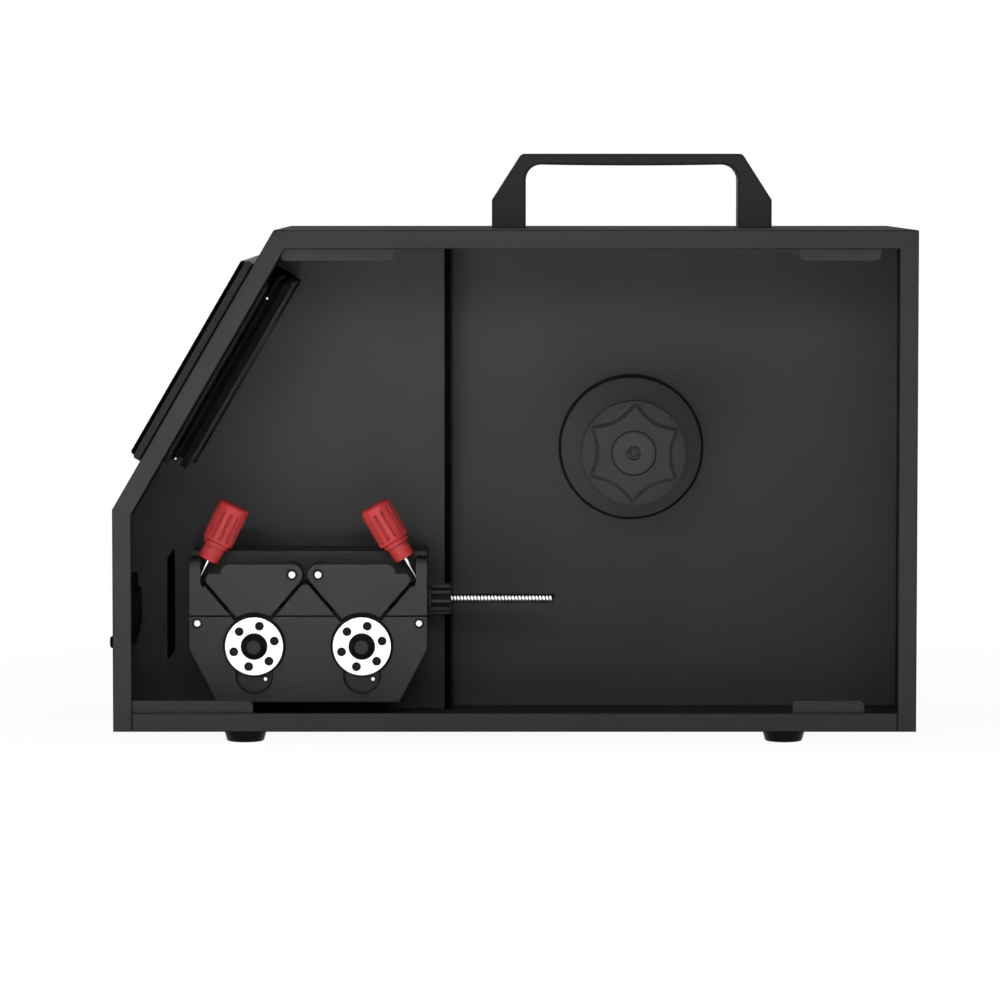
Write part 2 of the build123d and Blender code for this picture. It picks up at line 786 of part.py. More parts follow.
# Cast body of the wire feed
with BuildPart() as feed_body:
    # back block with the full outline
    with BuildSketch(front_plane(body_back)):
        Polygon(*feed_outline(0, feed_bottom, ear_top), align=None)
    extrude(amount=-feed_back_thick)
    # walls of the lower box
    cover_back = feed_front + cover_thick
    with BuildSketch(front_plane(cover_back)):
        Polygon(*feed_outline(0, feed_bottom, feed_split), align=None)
        inside = feed_outline(feed_wall, feed_bottom + feed_wall, feed_split + over)
        Polygon(*inside, align=None, mode=Mode.SUBTRACT)
    extrude(amount=-(body_back - cover_back))
    # upper wall behind the arms and the rail on top of it
    with BuildSketch(front_plane(rail_depth)):
        with Locations((feed_x, (wall_bottom + rail_top) / 2)):
            Rectangle(wall_width, rail_top - wall_bottom)
    extrude(amount=-(body_back - rail_depth))
    with BuildSketch(front_plane(rail_depth)):
        with Locations((feed_x, rail_top - rail_thick / 2)):
            Rectangle(rail_width, rail_thick)
    extrude(amount=-(feeder_panel_depth - rail_depth))
    # corner blocks with their ears, outside the arms
    for side, pivot_x, bolt_x, lean in sides.values():
        near, far = arm_edges(pivot_x, arm_gap)
        ear_in = feed_half - ear_width
        notch = bolt_height - bolt_drop
        corner = [
            (feed_half, feed_split),
            (feed_half, ear_top),
            (ear_in, ear_top),
            (ear_in, notch + 2 * rod_radius),
            (ear_in - rod_radius, notch),
            (edge_x(far, notch + rod_radius, True), notch + rod_radius),
            (edge_x(far, feed_split, True), feed_split),
        ]
        with BuildSketch(front_plane(feed_front)):
            Polygon(*((feed_x + side * x, h) for x, h in corner), align=None)
        extrude(amount=-(body_back - feed_front))
    ear_fronts = feed_body.edges().filter_by(Axis.X).filter_by_position(
        Axis.Z, foot_height + ear_top - fit, foot_height + ear_top + fit
    )
    fillet(ear_fronts.group_by(Axis.Y)[0], radius=ear_round)
    # web between the arms with its rounded top
    left_edge = arm_edges(arm_pivot_left, arm_gap)[0]
    right_edge = arm_edges(arm_pivot_right, arm_gap)[0]
    flat = (left_edge[0] + right_edge[0]) / 2
    apex = (feed_x - (left_edge[0] - right_edge[0]) / 2, left_edge[1] + flat * math.tan(rise))
    with BuildSketch(front_plane(feed_front)) as web:
        Polygon(
            (feed_x - edge_x(left_edge, feed_split, False), feed_split),
            apex,
            (feed_x + edge_x(right_edge, feed_split, False), feed_split),
            align=None,
        )
        fillet(web.vertices().group_by(Axis.Y)[-1], radius=apex_radius)
    extrude(amount=-(rail_depth - feed_front))
    # room for the rolls, the gears and the pinion, and bearing bores for the shafts
    for side, pivot_x, bolt_x, lean in sides.values():
        axis = (feed_x + side * roll_spacing / 2, drive_height)
        with BuildSketch(front_plane(arm_back)):
            with Locations(axis):
                Circle(drive_radius + roll_clear)
        extrude(amount=-(rail_depth - arm_back), mode=Mode.SUBTRACT)
        with BuildSketch(front_plane(rail_depth - over)):
            with Locations(axis):
                Circle(gear_pitch_radius + gear_module + roll_clear)
        extrude(amount=-(body_back - rail_depth + over), mode=Mode.SUBTRACT)
        with BuildSketch(front_plane(body_back)):
            with Locations(axis):
                Circle(shaft_radius + fit)
        extrude(amount=-feed_back_thick, mode=Mode.SUBTRACT)
    with BuildSketch(front_plane(body_back)):
        with Locations((feed_x, drive_height)):
            Circle(pinion_shaft_radius + over)
    extrude(amount=-feed_back_thick, mode=Mode.SUBTRACT)
    # slots and pin holes for the tension bolts, holes for the arm pivots
    for side, pivot_x, bolt_x, lean in sides.values():
        eye_x = bolt_x + bolt_drop * math.sin(lean)
        eye_height = bolt_height - bolt_drop * math.cos(lean)
        slot_low = eye_height - eye_radius - over
        slot_in = eye_x - 2 * eye_radius
        with BuildSketch(front_plane(bolt_depth - eye_width / 2 - clear)):
            with Locations((feed_x + side * (slot_in + feed_half + over) / 2, (slot_low + rail_top) / 2)):
                Rectangle(feed_half + over - slot_in, rail_top - slot_low)
        extrude(amount=-(eye_width + 2 * clear), mode=Mode.SUBTRACT)
        with BuildSketch(front_plane(bolt_depth - eye_pin_hold)):
            with Locations((feed_x + side * eye_x, eye_height)):
                Circle(eye_pin_radius + fit)
        extrude(amount=-2 * eye_pin_hold, mode=Mode.SUBTRACT)
        with BuildSketch(front_plane(rail_depth)):
            with Locations((feed_x + side * pivot_x, arm_pivot_height)):
                Circle(arm_pin_radius + fit)
        extrude(amount=-arm_pin_hold, mode=Mode.SUBTRACT)
    # wire bore from end to end, wider on the right for the inlet connector
    with BuildSketch(side_plane(feed_x - feed_half)):
        with Locations((wire_depth, wire_height)):
            Circle(guide_radius + fit)
    extrude(amount=feed_width, mode=Mode.SUBTRACT)
    with BuildSketch(side_plane(feed_x + feed_half - connector_stub)):
        with Locations((wire_depth, wire_height)):
            Circle(connector_stub_radius + fit)
    extrude(amount=connector_stub, mode=Mode.SUBTRACT)
    # screw holes for the cover
    with BuildSketch(front_plane(cover_back)):
        with Locations(*((feed_x + side * screw_x, feed_split - screw_drop) for side in (-1, 1))):
            Circle(screw_radius + fit)
    extrude(amount=-screw_hold, mode=Mode.SUBTRACT)
finish(feed_body, "feed_body")

# Front cover of the wire feed
with BuildPart() as feed_cover:
    with BuildSketch(front_plane(feed_front)):
        Polygon(*feed_outline(0, feed_bottom, feed_split - cover_gap), align=None)
        for side, pivot_x, bolt_x, lean in sides.values():
            near, far = arm_edges(pivot_x, arm_gap)
            dip = drive_height + arm_disc_radius * math.cos(rise)
            dip_low = 2 * dip - feed_split - over
            throat = [
                (edge_x(far, feed_split, True), feed_split),
                (edge_x(far, dip_low, True), dip_low),
                (edge_x(near, dip_low, False), dip_low),
                (edge_x(near, feed_split, False), feed_split),
            ]
            Polygon(*((feed_x + side * x, h) for x, h in throat), align=None, mode=Mode.SUBTRACT)
            with Locations((feed_x + side * roll_spacing / 2, drive_height)):
                Circle(plate_radius + cover_hole_gap, mode=Mode.SUBTRACT)
            with Locations((feed_x + side * screw_x, feed_split - screw_drop)):
                Circle(screw_radius + fit, mode=Mode.SUBTRACT)
    extrude(amount=-cover_thick)
    for side in (-1, 1):
        with BuildSketch(front_plane(feed_front)):
            with Locations((feed_x + side * roll_spacing / 2, drive_height - recess_drop)):
                Circle(recess_radius)
        extrude(amount=-recess_sink, mode=Mode.SUBTRACT)
        with BuildSketch(front_plane(feed_front)):
            with Locations((feed_x + side * roll_spacing / 2 + dowel_x, drive_height - dowel_drop)):
                Circle(dowel_radius + fit)
        extrude(amount=-cover_thick, mode=Mode.SUBTRACT)
finish(feed_cover, "feed_cover")

with BuildPart() as cover_screws:
    with BuildSketch(front_plane(feed_front + screw_sink)):
        with Locations(*((feed_x + side * screw_x, feed_split - screw_drop) for side in (-1, 1))):
            Circle(screw_radius)
    extrude(amount=-(cover_thick + screw_hold - screw_sink))
finish(cover_screws, "cover_screws")

with BuildPart() as dowel_pins:
    with BuildSketch(front_plane(feed_front + recess_sink / 2)):
        with Locations(
            *((feed_x + side * roll_spacing / 2 + dowel_x, drive_height - dowel_drop) for side in (-1, 1))
        ):
            Circle(dowel_radius)
    extrude(amount=-(cover_thick - recess_sink / 2))
finish(dowel_pins, "dowel_pins")


def involute(angle_at):
    """Involute function of an angle in radians."""
    return math.tan(angle_at) - angle_at


def gear_outline(centre, teeth, first):
    """Corners of a spur gear: each flank runs from the root through two points of the involute."""
    pitch = gear_module * teeth / 2
    base = pitch * math.cos(math.radians(pressure_angle))
    tip = pitch + gear_module * 0.9
    root = pitch - gear_module * 1.25
    half = (math.pi * gear_module - gear_backlash) / 4 / pitch + involute(math.radians(pressure_angle))

    def point(radius, turn):
        return (centre[0] + radius * math.cos(turn), centre[1] + radius * math.sin(turn))

    def flank(radius):
        return half - involute(math.acos(min(1.0, base / radius)))

    corners = []
    for tooth in range(teeth):
        middle = first + 2 * math.pi * tooth / teeth
        corners += [point(r, middle - flank(r)) for r in (root, pitch, tip)]
        corners += [point(r, middle + flank(r)) for r in (tip, pitch, root)]
    return corners


# Drive axles: shaft with its gear, roll, white clamping plate and retaining cap on each side
for tag, (side, pivot_x, bolt_x, lean) in sides.items():
    axis = (feed_x + side * roll_spacing / 2, drive_height)

    with BuildPart() as drive_shaft:
        with BuildSketch(front_plane(plate_back)):
            with Locations(axis):
                Circle(shaft_radius)
        extrude(amount=-(feeder_panel_depth - over - plate_back))
        with BuildSketch(front_plane(gear_front)):
            Polygon(*gear_outline(axis, gear_teeth, math.pi / gear_teeth), align=None)
        extrude(amount=-gear_width)
    finish(drive_shaft, f"drive_shaft_{tag}")

    with BuildPart() as drive_roll:
        with BuildSketch(front_plane(roll_front)):
            with Locations(axis):
                Circle(drive_radius)
        extrude(amount=-roll_width)
        with BuildSketch(front_plane(plate_back)):
            with Locations(axis):
                Circle(roll_hub_radius)
        extrude(amount=-(roll_front - plate_back))
        with BuildSketch(side_plane(axis[0])):
            Polygon(
                (wire_depth - groove_depth, drive_height + drive_radius),
                (wire_depth, drive_height + drive_radius - groove_depth),
                (wire_depth + groove_depth, drive_height + drive_radius),
                align=None,
            )
        revolve(
            axis=Axis((axis[0], 0, foot_height + drive_height), (0, 1, 0)),
            mode=Mode.SUBTRACT,
        )
        with BuildSketch(front_plane(plate_back)):
            with Locations(axis):
                Circle(shaft_radius + fit)
        extrude(amount=-(roll_back - plate_back), mode=Mode.SUBTRACT)
    finish(drive_roll, f"drive_roll_{tag}")

    with BuildPart() as roll_plate:
        with BuildSketch(front_plane(plate_front)):
            with Locations(axis):
                Circle(plate_radius)
                with PolarLocations(plate_hole_ring, plate_holes, start_angle=plate_turn):
                    Circle(plate_hole_radius, mode=Mode.SUBTRACT)
        extrude(amount=-plate_thick)
    finish(roll_plate, f"roll_plate_{tag}")

    with BuildPart() as roll_cap:
        with BuildSketch(front_plane(plate_front)):
            with Locations(axis):
                Circle(cap_radius)
        extrude(
            amount=cap_height,
            taper=math.degrees(math.atan((cap_radius - cap_top_radius) / cap_height)),
        )
    finish(roll_cap, f"roll_cap_{tag}")

# Motor pinion between the two drive gears
with BuildPart() as drive_pinion:
    with BuildSketch(front_plane(gear_front)):
        Polygon(*gear_outline((feed_x, drive_height), pinion_teeth, 0), align=None)
    extrude(amount=-gear_width)
    with BuildSketch(front_plane(gear_back)):
        with Locations((feed_x, drive_height)):
            Circle(pinion_shaft_radius)
    extrude(amount=-(feeder_panel_depth + panel_sheet + gearbox_edge - gear_back))
finish(drive_pinion, "drive_pinion")

# Pressure arms with their rolls and pins
for tag, (side, pivot_x, bolt_x, lean) in sides.items():
    pivot = (feed_x + side * pivot_x, arm_pivot_height)
    nip = (feed_x + side * roll_spacing / 2, press_height)

    with BuildPart() as press_arm:
        near, far = arm_edges(pivot_x, 0)
        meet = ((far[0] - near[0]) / math.cos(rise) + (far[1] - near[1]) / math.sin(rise)) / 2
        arm_top = arm_pivot_height + arm_end_radius
        outline = [
            (pivot_x, arm_top),
            (arm_shoulder_x, arm_top),
            (arm_shoulder_x, arm_ledge_height),
            (arm_ledge_x, arm_ledge_height),
            far,
            (far[0] - meet * math.cos(rise), far[1] - meet * math.sin(rise)),
            near,
            (pivot_x, arm_pivot_height),
        ]
        with BuildSketch(front_plane(feed_front)) as plate:
            Polygon(*((feed_x + side * x, h) for x, h in outline), align=None)
            shoulder_x = feed_x + side * arm_shoulder_x
            shoulder = plate.vertices().group_by(Axis.Y)[-1].filter_by_position(
                Axis.X, shoulder_x - fit, shoulder_x + fit
            )
            fillet(shoulder, radius=arm_shoulder_radius)
            with Locations(pivot):
                Circle(arm_end_radius)
            with Locations((feed_x + side * roll_spacing / 2, drive_height)):
                Circle(arm_disc_radius, mode=Mode.SUBTRACT)
        extrude(amount=-arm_thick)
        with BuildSketch(front_plane(arm_back)):
            with Locations(pivot):
                Circle(arm_hub_radius)
        extrude(amount=-(rail_depth - clear - arm_back))
        with BuildSketch(front_plane(feed_front)):
            with Locations(pivot):
                Circle(arm_pin_radius + fit)
        extrude(amount=-(rail_depth - feed_front), mode=Mode.SUBTRACT)
        with BuildSketch(front_plane(arm_back - press_pin_hold)):
            with Locations(nip):
                Circle(press_pin_radius + fit)
        extrude(amount=-press_pin_hold, mode=Mode.SUBTRACT)
    finish(press_arm, f"press_arm_{tag}")

    with BuildPart() as press_pin:
        with BuildSketch(front_plane(arm_back - press_pin_hold)):
            with Locations(nip):
                Circle(press_pin_radius)
        extrude(amount=-(roll_back + over - arm_back + press_pin_hold))
    finish(press_pin, f"press_pin_{tag}")

    with BuildPart() as press_roll:
        with BuildSketch(front_plane(roll_front)):
            with Locations(nip):
                Circle(press_radius)
                Circle(press_pin_radius + fit, mode=Mode.SUBTRACT)
        extrude(amount=-roll_width)
    finish(press_roll, f"press_roll_{tag}")

with BuildPart() as arm_pivot_pins:
    with BuildSketch(front_plane(feed_front - arm_pin_proud)):
        with Locations(*((feed_x + entry[0] * entry[1], arm_pivot_height) for entry in sides.values())):
            Circle(arm_pin_radius)
    extrude(amount=-(rail_depth + arm_pin_hold - feed_front + arm_pin_proud))
finish(arm_pivot_pins, "arm_pivot_pins")



def eye_centre(side, bolt_x, lean):
    """X and height of a tension bolt's eye."""
    return feed_x + side * (bolt_x + bolt_drop * math.sin(lean)), bolt_height - bolt_drop * math.cos(lean)


# Tension bolts: eye, rod and ribbed knob on each side, leaning inwards over the arms
with BuildPart() as bolt_pivot_pins:
    for side, pivot_x, bolt_x, lean in sides.values():
        with BuildSketch(front_plane(bolt_depth - eye_pin_hold)):
            with Locations(eye_centre(side, bolt_x, lean)):
                Circle(eye_pin_radius)
        extrude(amount=-2 * eye_pin_hold)
finish(bolt_pivot_pins, "bolt_pivot_pins")

for tag, (side, pivot_x, bolt_x, lean) in sides.items():
    eye = eye_centre(side, bolt_x, lean)
    bolt_plane = Plane(
        origin=(eye[0], front_y + bolt_depth, foot_height + eye[1]),
        x_dir=(0, 1, 0),
        z_dir=(-side * math.sin(lean), 0, math.cos(lean)),
    )
    collar_start = collar_start_left if side < 0 else collar_start_right
    collar_end = collar_start + collar_length
    grip_start = collar_end + ring_length

    with BuildPart() as tension_rod:
        with BuildSketch(front_plane(bolt_depth - eye_width / 2)):
            with Locations(eye):
                Circle(eye_radius)
        extrude(amount=-eye_width)
        with BuildSketch(bolt_plane):
            Circle(rod_radius)
        extrude(amount=rod_end)
        with BuildSketch(front_plane(bolt_depth - eye_width / 2)):
            with Locations(eye):
                Circle(eye_pin_radius + fit)
        extrude(amount=-eye_width, mode=Mode.SUBTRACT)
    finish(tension_rod, f"tension_rod_{tag}")

    with BuildPart() as tension_knob:
        with BuildSketch(bolt_plane.offset(collar_start)):
            Circle(collar_radius)
        extrude(amount=collar_length)
        with BuildSketch(bolt_plane.offset(collar_end)):
            Circle(ring_radius)
        extrude(amount=ring_length)
        with BuildSketch(bolt_plane.offset(grip_start)):
            Circle(grip_radius)
        extrude(amount=grip_length)
        top = tension_knob.faces().sort_by(Axis(bolt_plane.origin, bolt_plane.z_dir))[-1]
        chamfer(top.edges(), length=grip_crown)
        with BuildSketch(bolt_plane.offset(grip_start + grip_groove_start)):
            with PolarLocations(grip_radius, grip_grooves):
                Rectangle(2 * grip_groove, 2 * grip_groove, rotation=45)
        extrude(amount=grip_groove_length, mode=Mode.SUBTRACT)
        with BuildSketch(bolt_plane.offset(collar_start)):
            Circle(rod_radius + fit)
        extrude(amount=rod_end + over - collar_start, mode=Mode.SUBTRACT)
    finish(tension_knob, f"tension_knob_{tag}")

# Wire guides: tubes before, between and after the rolls
with BuildPart() as wire_guides:
    nip_out = roll_spacing / 2 + guide_nip_gap
    nip_in = roll_spacing / 2 - guide_nip_gap
    spans = (
        (feed_x - feed_half - over, feed_x - nip_out),
        (feed_x - nip_in, feed_x + nip_in),
        (feed_x + nip_out, feed_x + feed_half - connector_stub),
    )
    for start, end in spans:
        with BuildSketch(side_plane(start)):
            with Locations((wire_depth, wire_height)):
                Circle(guide_radius)
                Circle(guide_bore_radius, mode=Mode.SUBTRACT)
        extrude(amount=end - start)
finish(wire_guides, "wire_guides")

# Inlet connector with lengthwise ribs
connector_start = feed_x + feed_half
connector_end = connector_start + connector_length
with BuildPart() as inlet_connector:
    with BuildSketch(side_plane(connector_start)):
        with Locations((wire_depth, wire_height)):
            Circle(connector_radius)
    extrude(amount=connector_length)
    with BuildSketch(side_plane(connector_start + connector_collar)):
        rib_root = connector_radius - over
        rib_middle = (rib_root + connector_rib_radius) / 2
        with Locations((wire_depth, wire_height)):
            with PolarLocations(rib_middle, connector_ribs, start_angle=connector_turn):
                Rectangle(connector_rib_radius - rib_root, connector_rib)
    extrude(amount=connector_length - connector_collar)
    with BuildSketch(side_plane(connector_start - connector_stub)):
        with Locations((wire_depth, wire_height)):
            Circle(connector_stub_radius)
    extrude(amount=connector_stub)
    with BuildSketch(side_plane(connector_start - connector_stub)):
        with Locations((wire_depth, wire_height)):
            Circle(guide_bore_radius)
    extrude(amount=connector_stub + connector_length, mode=Mode.SUBTRACT)
    with BuildSketch(side_plane(connector_end - spring_seat)):
        with Locations((wire_depth, wire_height)):
            Circle(spring_radius + clear)
    extrude(amount=spring_seat, mode=Mode.SUBTRACT)
finish(inlet_connector, "inlet_connector")

# Spring guide: a wound wire that stands out of the connector; both ends run straight along its axis
spring_mean = spring_radius - spring_wire / 2
spring_x = connector_end - spring_seat + fit
spring_lead = spring_wire + spring_pitch


def spring_point(turn):
    """Point on the winding after a number of turns."""
    around = 2 * math.pi * turn
    return Vector(
        spring_x + spring_lead + spring_pitch * turn,
        front_y + wire_depth + spring_mean * math.cos(around),
        foot_height + wire_height + spring_mean * math.sin(around),
    )


def spring_heading(turn):
    """Direction of the winding after a number of turns."""
    around = 2 * math.pi * turn
    run = 2 * math.pi * spring_mean
    return Vector(spring_pitch, -run * math.sin(around), run * math.cos(around)).normalized()


def biarc(start, start_way, end, end_way):
    """Draw two arcs that join two points with given directions."""
    chord = end - start
    ways = start_way + end_way
    open_by = 2 * (1 - start_way.dot(end_way))
    reach = (math.sqrt(chord.dot(ways) ** 2 + open_by * chord.dot(chord)) - chord.dot(ways)) / open_by
    first = start + start_way * reach
    second = end - end_way * reach
    joint = (first + second) / 2
    TangentArc(start, joint, tangent=start_way)
    TangentArc(joint, end, tangent=(second - first).normalized())


with BuildPart() as spring_guide:
    along = Vector(1, 0, 0)
    head = spring_point(-0.25) + along * (spring_pitch / 4 - spring_pitch)
    tail = spring_point(spring_turns + 0.25) + along * (spring_pitch - spring_pitch / 4)
    with BuildLine() as winding:
        Line(head - along * spring_wire, head)
        biarc(head, along, spring_point(0), spring_heading(0))
        for half_turn in range(2 * spring_turns):
            here = half_turn / 2
            biarc(
                spring_point(here),
                spring_heading(here),
                spring_point(here + 0.5),
                spring_heading(here + 0.5),
            )
        biarc(spring_point(spring_turns), spring_heading(spring_turns), tail, along)
        Line(tail, tail + along * spring_wire)
    with BuildSketch(Plane(origin=head - along * spring_wire, z_dir=along)):
        RegularPolygon(spring_wire / 2, 4)
    sweep(clean=False)
finish(spring_guide, "spring_guide")
samples = [spring_point(k / 24) for k in range(24 * 2 + 1)]
apart = min((samples[0] - samples[k]).length for k in range(12, len(samples)))
print("spring guide: least gap between turns", round(apart - spring_wire, 3))

# Wire outlet bush in the left wall
with BuildPart() as outlet_bush:
    wall_in = sheet - half_width
    with BuildSketch(side_plane(wall_in)):
        with Locations((wire_depth, outlet_height)):
            RectangleRounded(outlet_size, outlet_size, outlet_corner)
    extrude(amount=outlet_thick)
    with BuildSketch(side_plane(wall_in + outlet_thick)):
        with Locations((wire_depth, outlet_height)):
            Circle(outlet_boss_radius)
    extrude(amount=outlet_boss)
    with BuildSketch(side_plane(-half_width - clear)):
        with Locations((wire_depth, outlet_height)):
            Circle(outlet_collar_radius)
    extrude(amount=sheet + clear)
    with BuildSketch(side_plane(-half_width - clear)):
        with Locations((wire_depth, outlet_height)):
            Circle(outlet_bore_radius)
    extrude(amount=sheet + clear + outlet_thick + outlet_boss, mode=Mode.SUBTRACT)
    mouth = outlet_bush.edges().group_by(Axis.X)[-1].sort_by(SortBy.RADIUS)[0]
    chamfer(mouth, length=outlet_mouth_radius - outlet_bore_radius)
finish(outlet_bush, "outlet_bush")

# Jog button in the left wall and its switch body behind the wall
with BuildPart() as jog_button:
    with BuildSketch(side_plane(-half_width - jog_proud)):
        with Locations((jog_depth, jog_height)):
            Circle(jog_radius)
    extrude(amount=jog_proud + sheet + jog_inside)
    chamfer(jog_button.edges().group_by(Axis.X)[0], length=jog_edge)
finish(jog_button, "jog_button")

with BuildPart() as jog_switch:
    with BuildSketch(side_plane(wall_in)):
        with Locations((jog_depth, jog_height)):
            RectangleRounded(jog_body_width, jog_body_width, sheet)
            Circle(jog_radius + fit, mode=Mode.SUBTRACT)
    extrude(amount=jog_inside + jog_travel + clear)
    with BuildSketch(side_plane(wall_in + jog_inside + jog_travel + clear)):
        with Locations((jog_depth, jog_height)):
            RectangleRounded(jog_body_width, jog_body_width, sheet)
    extrude(amount=jog_body - jog_inside - jog_travel - clear)
finish(jog_switch, "jog_switch")

# Rear chamber: gearbox and motor on the feeder panel's back
with BuildPart() as motor_gearbox:
    with BuildSketch(front_plane(chamber_front)):
        with Locations((feed_x, drive_height)):
            RectangleRounded(gearbox_size, gearbox_size, gearbox_edge)
    extrude(amount=-gearbox_length)
    with BuildSketch(front_plane(chamber_front)):
        with Locations((feed_x, drive_height)):
            Circle(pinion_shaft_radius + fit)
    extrude(amount=-(gearbox_edge + over), mode=Mode.SUBTRACT)
finish(motor_gearbox, "motor_gearbox")

with BuildPart() as feed_motor:
    with BuildSketch(front_plane(chamber_front + gearbox_length)):
        with Locations((feed_x, drive_height)):
            Circle(motor_radius)
    extrude(amount=-motor_length)
    with BuildSketch(front_plane(chamber_front + gearbox_length + motor_length)):
        with Locations((feed_x, drive_height)):
            Circle(motor_end_radius)
    extrude(amount=-motor_end)
finish(feed_motor, "feed_motor")

# Control board on standoffs behind the spool panel
with BuildPart() as control_board:
    board_front = spool_panel_depth + panel_sheet
    board_back = board_front + board_standoff + board_thick
    board_margin = 4 * board_standoff_radius
    with BuildSketch(front_plane(board_front)):
        with Locations((board_x, board_height)):
            with GridLocations(board_width - board_margin, board_tall - board_margin, 2, 2):
                Circle(board_standoff_radius)
    extrude(amount=-board_standoff)
    with BuildSketch(front_plane(board_front + board_standoff)):
        with Locations((board_x, board_height)):
            Rectangle(board_width, board_tall)
    extrude(amount=-board_thick)
    with BuildSketch(front_plane(board_back)):
        with Locations((board_x - board_width / 4, board_height)):
            with GridLocations(0, board_tall / 4, 1, 3):
                Rectangle(board_width / 4, board_tall / 6)
        with Locations((board_x + board_width / 8, board_height)):
            with GridLocations(board_width / 6, board_tall / 3, 2, 2):
                Circle(board_tall / 14)
        with Locations((board_x + 3 * board_width / 8, board_height)):
            Rectangle(board_width / 10, board_tall * 2 / 3)
    extrude(amount=-board_part_tall)
finish(control_board, "control_board")

# Power supply on the floor of the rear chamber
with BuildPart() as power_supply:
    with BuildSketch(level_plane(sheet)):
        with Locations((supply_x, supply_front + supply_depth / 2)):
            Rectangle(supply_width, supply_depth)
    extrude(amount=supply_tall)
    with BuildSketch(level_plane(sheet + supply_tall)):
        with Locations((supply_x - supply_width / 2 + supply_terminal / 2, supply_front + supply_depth / 2)):
            Rectangle(supply_terminal, supply_depth - 2 * over)
    extrude(amount=-supply_tall / 2, mode=Mode.SUBTRACT)
finish(power_supply, "power_supply")

# Power inlet in the rear cover
with BuildPart() as power_inlet:
    with BuildSketch(front_plane(case_depth)):
        with Locations((inlet_x, fitting_height)):
            RectangleRounded(inlet_width, inlet_tall, inlet_wall)
    extrude(amount=-inlet_lip)
    with BuildSketch(front_plane(case_depth - inlet_body)):
        with Locations((inlet_x, fitting_height)):
            Rectangle(inlet_width - 4 * inlet_wall, inlet_tall - 2 * inlet_wall)
    extrude(amount=-inlet_body)
    with BuildSketch(front_plane(case_depth + inlet_lip)) as cavity:
        with Locations((inlet_x, fitting_height)):
            Rectangle(inlet_cavity_width, inlet_cavity_tall)
        chamfer(cavity.vertices().group_by(Axis.Y)[-1], length=inlet_cavity_tall / 4)
    extrude(amount=inlet_body - inlet_wall, mode=Mode.SUBTRACT)
    with BuildSketch(front_plane(case_depth - inlet_body)):
        with Locations((inlet_x, fitting_height)):
            with GridLocations(inlet_cavity_width / 3.5, 0, 3, 1):
                Rectangle(inlet_wall, inlet_wall * 2)
    extrude(amount=-(inlet_body - inlet_wall))
finish(power_inlet, "power_inlet")

# Control socket in the rear cover
with BuildPart() as control_socket:
    with BuildSketch(front_plane(case_depth)):
        with Locations((socket_x, fitting_height)):
            Circle(socket_flange_radius)
    extrude(amount=-socket_lip)
    with BuildSketch(front_plane(case_depth - socket_body)):
        with Locations((socket_x, fitting_height)):
            Circle(socket_radius)
    extrude(amount=-socket_body)
    with BuildSketch(front_plane(case_depth + socket_lip)):
        with Locations((socket_x, fitting_height)):
            Circle(socket_bore_radius)
    extrude(amount=socket_body / 2, mode=Mode.SUBTRACT)
    with BuildSketch(front_plane(case_depth - socket_body / 2 + socket_lip)):
        with Locations((socket_x, fitting_height)):
            with PolarLocations(socket_pin_ring, socket_pins):
                Circle(socket_pin_radius)
    extrude(amount=-socket_pin)
finish(control_socket, "control_socket")

# Power switch: frame in the rear cover, and the rocker on its pivot line
with BuildPart() as switch_frame:
    well = switch_width - 2 * switch_rim
    well_tall = switch_tall - 2 * switch_rim
    with BuildSketch(front_plane(case_depth)):
        with Locations((switch_x, fitting_height)):
            RectangleRounded(switch_width, switch_tall, switch_rim / 2)
    extrude(amount=-switch_lip)
    with BuildSketch(front_plane(case_depth - switch_body)):
        with Locations((switch_x, fitting_height)):
            Rectangle(switch_width - switch_rim, switch_tall - switch_rim)
    extrude(amount=-switch_body)
    with BuildSketch(front_plane(case_depth + switch_lip)):
        with Locations((switch_x, fitting_height)):
            Rectangle(well, well_tall)
    extrude(amount=switch_body - switch_rim, mode=Mode.SUBTRACT)
finish(switch_frame, "switch_frame")

with BuildPart() as switch_rocker:
    rocker_half = well_tall / 2 - rocker_gap
    tilt = math.radians(rocker_tilt)
    rocker_side = Plane(
        origin=(switch_x - well / 2 + clear, front_y + case_depth, foot_height + fitting_height),
        x_dir=(0, 1, 0),
        z_dir=(1, 0, 0),
    )
    with BuildSketch(rocker_side) as rocker_face:
        with BuildLine():
            Polyline(
                (switch_lip, 0),
                (switch_lip, rocker_half),
                (-rocker_thick, rocker_half * 2 / 3),
                (-rocker_thick, -rocker_half * 2 / 3),
                (switch_lip + 2 * rocker_half * math.tan(tilt), -rocker_half),
                close=True,
            )
        make_face()
    extrude(amount=well - 2 * clear)
finish(switch_rocker, "switch_rocker")
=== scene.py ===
"""Dresses the wire feeder unit: finishes, turned and moulded details, the studio and the camera.

Sizes in the classes are millimetres in the part's own frame; meshes are written in metres.
"""
import logging
import math
from dataclasses import dataclass, replace
from enum import Enum
from typing import Callable, Iterable, Sequence

import bmesh
import bpy
from mathutils import Matrix, Vector


